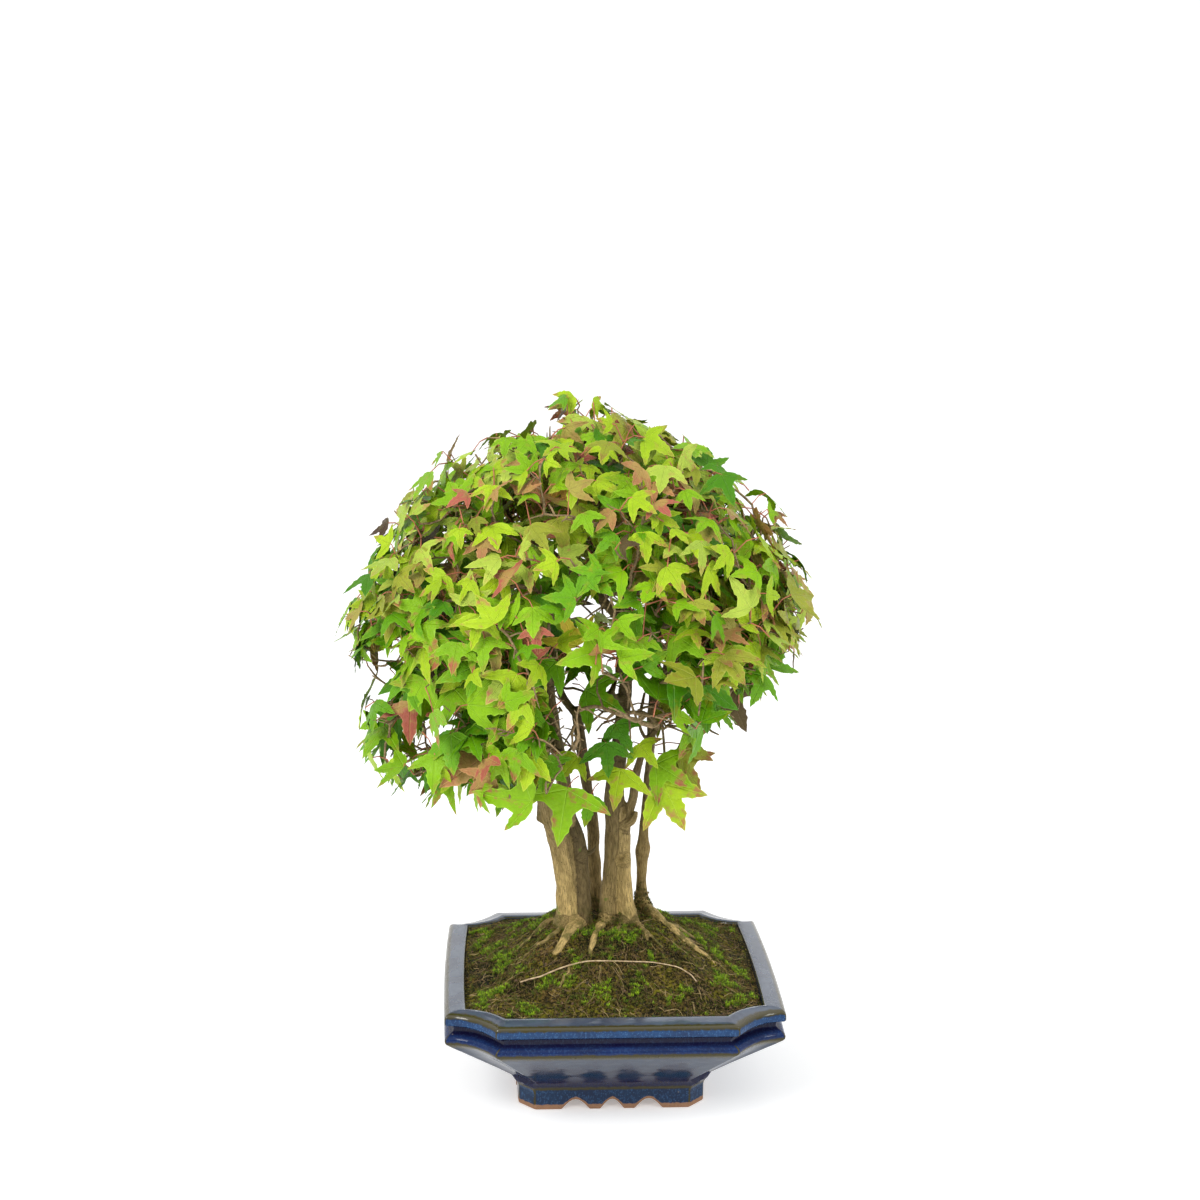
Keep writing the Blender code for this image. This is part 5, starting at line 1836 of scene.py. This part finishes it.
def leaf_mesh(name, rows, forms):
    """All leaves of one finish in one mesh: rows are (form, foot, turn, length, blushed, shade)."""
    item = scattered(name, forms, [row[:4] for row in rows])
    spots, slots, margin, shades = [], [], [], []
    for form, _, _, _, blushed, own in rows:
        points, form_faces, form_maps, form_margin = forms[form]
        spots.append(form_maps[np.array(form_faces).ravel()])
        slots += [int(blushed)] * len(form_faces)
        margin += form_margin
        shades += [own] * len(points)
    layer = item.data.uv_layers.new(name="leaf")
    layer.data.foreach_set("uv", np.concatenate(spots).astype(np.float32).ravel())
    for label, values in (("margin", margin), ("shade", shades)):
        point_values(item.data, label, "FLOAT", "value", values)
    item.data.polygons.foreach_set("material_index", slots)
    item.data.polygons.foreach_set("use_smooth", [True] * len(slots))
    item.data.update()
    return item


def deal_finish(rng, place):
    """A finish for one spray: autumn tones, and the pale one with its painted sheen, are commoner high up
    and on the right.
    """
    high = max(ramp(place.z - AUTUMN_LINE, 0.18), ramp(place.x - STAND.x - 0.05, 0.07))
    names = list(LEAF_FINISHES)
    weights = []
    for name in names:
        share = LEAF_FINISHES[name][1]
        if name in ("bronze", "rose", "olive", "pale", "dry"):
            share *= 0.35 + 1.9 * high
        if name in ("deep", "mid"):
            share *= 1.3 - 0.8 * high
        weights.append(share)
    return rng.choices(names, weights)[0]


class MAPLE_OT_twigs(bpy.types.Operator):
    """Grow fine twigs from the boughs' tips through the crown"""

    bl_idname = "maple.twigs"
    bl_label = "Twigs"

    def execute(self, context):
        settings = context.scene.maple_crown
        crown = grown_crown(settings)
        groups = {"twigs_upper": [], "twigs_left": [], "twigs_right": []}
        covered = {name: [] for name in groups}
        for name, growth in crown.items():
            if "top" in name:
                group = "twigs_upper"
            else:
                group = "twigs_left" if growth.space.heart.x < STAND.x - 20 * MM else "twigs_right"
            groups[group] += growth.paths() + growth.spurs()
            covered[group].append("foliage_" + name)
        dark = tuple(part * 0.5 for part in settings.twig)
        finish = plain_grain_material("twig_bark", settings.twig, dark, 420.0, 0.82)
        for name, paths in groups.items():
            rough = [knobbly(path, index * 1.3, 0.55) for index, path in enumerate(paths)]
            finish_piece(tubes(name, rough, 1), finish, covered[name], 180)
        return {"FINISHED"}


class MAPLE_OT_leaves(bpy.types.Operator):
    """Hang leaves on every shoot, in opposite pairs on arched stalks"""

    bl_idname = "maple.leaves"
    bl_label = "Leaves"

    def execute(self, context):
        settings = context.scene.maple_crown
        crown = grown_crown(settings)
        forms = [leaf_form(*form) for form in LEAF_FORMS]
        dealt = {name: [] for name in LEAF_FINISHES}
        stalks = []
        rng = random.Random(settings.seed)
        for growth in crown.values():
            for spray in leaf_rows(growth, settings, rng):
                finish = deal_finish(rng, spray[0][1])
                kept = 0.4 if finish in STRAY else 0.75
                for path, foot, way, face, length in spray:
                    own = finish if rng.random() < kept else deal_finish(rng, foot)
                    blushed = rng.random() < BLUSH_SHARE
                    form = rng.randrange(len(forms))
                    dealt[own].append((form, foot, leaf_turn(way, face), length, blushed, rng.random()))
                    stalks.append(stalk_path(path))
        for finish, blushed, form, foot, tip, start in LOW_LEAVES:
            foot, tip, start = (STAND + Vector(place) * MM for place in (foot, tip, start))
            way = tip - foot
            face = Vector((0.0, -1.0, 0.45)) + jitter(rng, 0.25)
            turn = leaf_turn(way.normalized(), face)
            dealt[finish].append((form, foot, turn, way.length, blushed, 0.3))
            stalks.append(stalk_path((start, start.lerp(foot, 0.5) + Vector((0, 0, 2 * MM)), foot)))
        masses = ["foliage_" + name for name in MASSES]
        for name, rows in dealt.items():
            base, _, blush = LEAF_FINISHES[name]
            piece = leaf_mesh("leaf_" + name, rows, forms)
            starts = (0.90, 0.62) if name in STRAY else (1.3, 1.2)
            for label, turned, start in zip((piece.name, piece.name + "_turned"), (0.45, 0.95), starts):
                piece.data.materials.append(leaf_material(label, base, blush, turned, start))
            finish_piece(piece, None, masses)
        dark = tuple(part * 0.7 for part in settings.petiole)
        finish = plain_grain_material("leaf_stalk", settings.petiole, dark, 120.0, 0.5)
        finish_piece(tubes("leaf_stalks", stalks, 0), finish, masses, 180)
        return {"FINISHED"}


def stalk_path(points):
    return [(*point, radius * MM) for point, radius in zip(points, (0.62, 0.48, 0.52))]


# ---- stage, metres
FLOOR_SIZE = 8.0
WALL_HEIGHT = 4.0
WALL_CURVE = 1.6
AIM_HEIGHT = 0.30  # that the lamps point at
LAMPS = (  # name, place, size, colour
    ("key", (-1.4, -1.5, 1.9), 1.2, (1.0, 0.985, 0.96)),
    ("fill", (1.7, -1.5, 1.5), 1.0, (0.96, 0.98, 1.0)),
)
CAMERA_PLACE = (-0.1055, -1.5754, 0.7844)  # from the pot's middle
CAMERA_ANGLES = (12.7279, 3.4077, 0.6957)  # down, to the right and rolled, degrees


def area_light(name, place, size, power, colour):
    deselect()
    bpy.ops.object.light_add(type="AREA", location=place)
    lamp = bpy.context.object
    lamp.name = name
    lamp.data.shape = "DISK"
    lamp.data.size = size
    lamp.data.energy = power
    lamp.data.color = colour
    toward = Vector((STAND.x, STAND.y, AIM_HEIGHT)) - Vector(place)
    lamp.rotation_euler = toward.to_track_quat("-Z", "Y").to_euler()


def select_back_edge(floor):
    for edge in bmesh.from_edit_mesh(floor.data).edges:
        if all(vertex.co.y > 0.49 * FLOOR_SIZE and vertex.co.z < MM for vertex in edge.verts):
            edge.select_set(True)
    bmesh.update_edit_mesh(floor.data)


class MAPLE_OT_stage(bpy.types.Operator):
    """Set the pale floor, the soft lights and the camera"""

    bl_idname = "maple.stage"
    bl_label = "Stage"

    def execute(self, context):
        settings = context.scene.maple_stage
        deselect()
        bpy.ops.mesh.primitive_plane_add(size=FLOOR_SIZE, location=(0.0, 0.0, 0.0))
        floor = context.object
        floor.name = "backdrop"
        bpy.ops.object.mode_set(mode="EDIT")
        bpy.ops.mesh.select_mode(type="EDGE")
        bpy.ops.mesh.select_all(action="DESELECT")
        select_back_edge(floor)
        bpy.ops.mesh.extrude_region_move(TRANSFORM_OT_translate={"value": (0.0, 0.0, WALL_HEIGHT)})
        bpy.ops.mesh.select_all(action="DESELECT")
        select_back_edge(floor)
        bpy.ops.mesh.bevel(offset=WALL_CURVE, segments=14, affect="EDGES")
        bpy.ops.object.mode_set(mode="OBJECT")
        shade(floor, 60)
        material, net, place = new_material("backdrop_paper")
        even = patchy(net, place, 3.0, 2.0, 0.2, 0.8)
        paler = tuple(part * 0.985 for part in settings.floor)
        net.put("Base Color", net.blend(even, settings.floor, paler))
        net.put("Roughness", 0.9)
        net.put("Specular IOR Level", 0.1)
        net.put("Emission Color", (1.0, 1.0, 1.0, 1.0))
        net.put("Emission Strength", settings.glow)
        floor.data.materials.append(material)
        world = bpy.data.worlds.new("studio")
        world.use_nodes = True
        sky = Wiring(world.node_tree)
        toward = sky.add("ShaderNodeTexCoord").outputs["Generated"]
        split = sky.split(toward)
        behind = sky.spread(split["Y"], -0.75, 0.15, settings.front, 1.0)
        above = sky.spread(split["Z"], 0.15, 0.75)
        power = sky.maths("MAXIMUM", behind, above)
        shade_node = world.node_tree.nodes["Background"]
        shade_node.inputs["Color"].default_value = (1.0, 1.0, 1.0, 1.0)
        power = sky.times(power, settings.world)
        seen = sky.add("ShaderNodeLightPath").outputs["Is Camera Ray"]
        sky.join(sky.maths("MAXIMUM", power, seen), shade_node.inputs["Strength"])
        context.scene.world = world
        for name, place, size, colour in LAMPS:
            area_light(name, place, size, getattr(settings, name), colour)
        pitch, yaw, roll = (math.radians(angle) for angle in CAMERA_ANGLES)
        ahead = Vector((math.sin(yaw) * math.cos(pitch), math.cos(yaw) * math.cos(pitch), -math.sin(pitch)))
        right = Vector((math.cos(yaw), -math.sin(yaw), 0.0))
        up = right.cross(ahead)
        across = math.cos(roll) * right + math.sin(roll) * up
        upright = -math.sin(roll) * right + math.cos(roll) * up
        deselect()
        bpy.ops.object.camera_add()
        camera = context.object
        camera.data.lens = settings.lens
        camera.data.sensor_width = 36.0
        camera.data.clip_end = 50.0
        turn = Matrix((across, upright, -ahead)).transposed().to_4x4()
        turn.translation = STAND + Vector(CAMERA_PLACE)
        camera.matrix_world = turn
        context.scene.camera = camera
        context.scene.view_settings.view_transform = "Standard"
        return {"FINISHED"}


# ---- add-on
class MAPLE_PT_panel(bpy.types.Panel):
    """Buttons and settings for the potted maple"""

    bl_idname = "MAPLE_PT_panel"
    bl_label = "Potted Maple"
    bl_space_type = "VIEW_3D"
    bl_region_type = "UI"
    bl_category = "Maple"

    def draw(self, context):
        layout = self.layout
        for group in GROUPS:
            box = layout.box()
            box.label(text=group.removeprefix("maple_").capitalize())
            settings = getattr(context.scene, group)
            for name in settings.__annotations__:
                box.prop(settings, name)
        for operator in OPERATORS:
            layout.operator(operator.bl_idname)


GROUPS = {
    "maple_stage": MAPLE_PG_stage,
    "maple_pot": MAPLE_PG_pot,
    "maple_ground": MAPLE_PG_ground,
    "maple_bark": MAPLE_PG_bark,
    "maple_crown": MAPLE_PG_crown,
}
OPERATORS = (
    MAPLE_OT_stage, MAPLE_OT_pot, MAPLE_OT_soil, MAPLE_OT_limbs, MAPLE_OT_moss,
    MAPLE_OT_litter, MAPLE_OT_twigs, MAPLE_OT_leaves,
)


def register():
    for settings in GROUPS.values():
        bpy.utils.register_class(settings)
    for operator in OPERATORS:
        bpy.utils.register_class(operator)
    bpy.utils.register_class(MAPLE_PT_panel)
    for name, settings in GROUPS.items():
        setattr(bpy.types.Scene, name, PointerProperty(type=settings))


def unregister():
    for name in GROUPS:
        delattr(bpy.types.Scene, name)
    bpy.utils.unregister_class(MAPLE_PT_panel)
    for operator in reversed(OPERATORS):
        bpy.utils.unregister_class(operator)
    for settings in reversed(GROUPS.values()):
        bpy.utils.unregister_class(settings)


def main():
    register()
    bpy.ops.maple.stage()
    bpy.ops.maple.pot()
    bpy.ops.maple.soil()
    bpy.ops.maple.limbs()
    bpy.ops.maple.moss()
    bpy.ops.maple.litter()
    bpy.ops.maple.twigs()
    bpy.ops.maple.leaves()


if __name__ == "__main__":
    main()
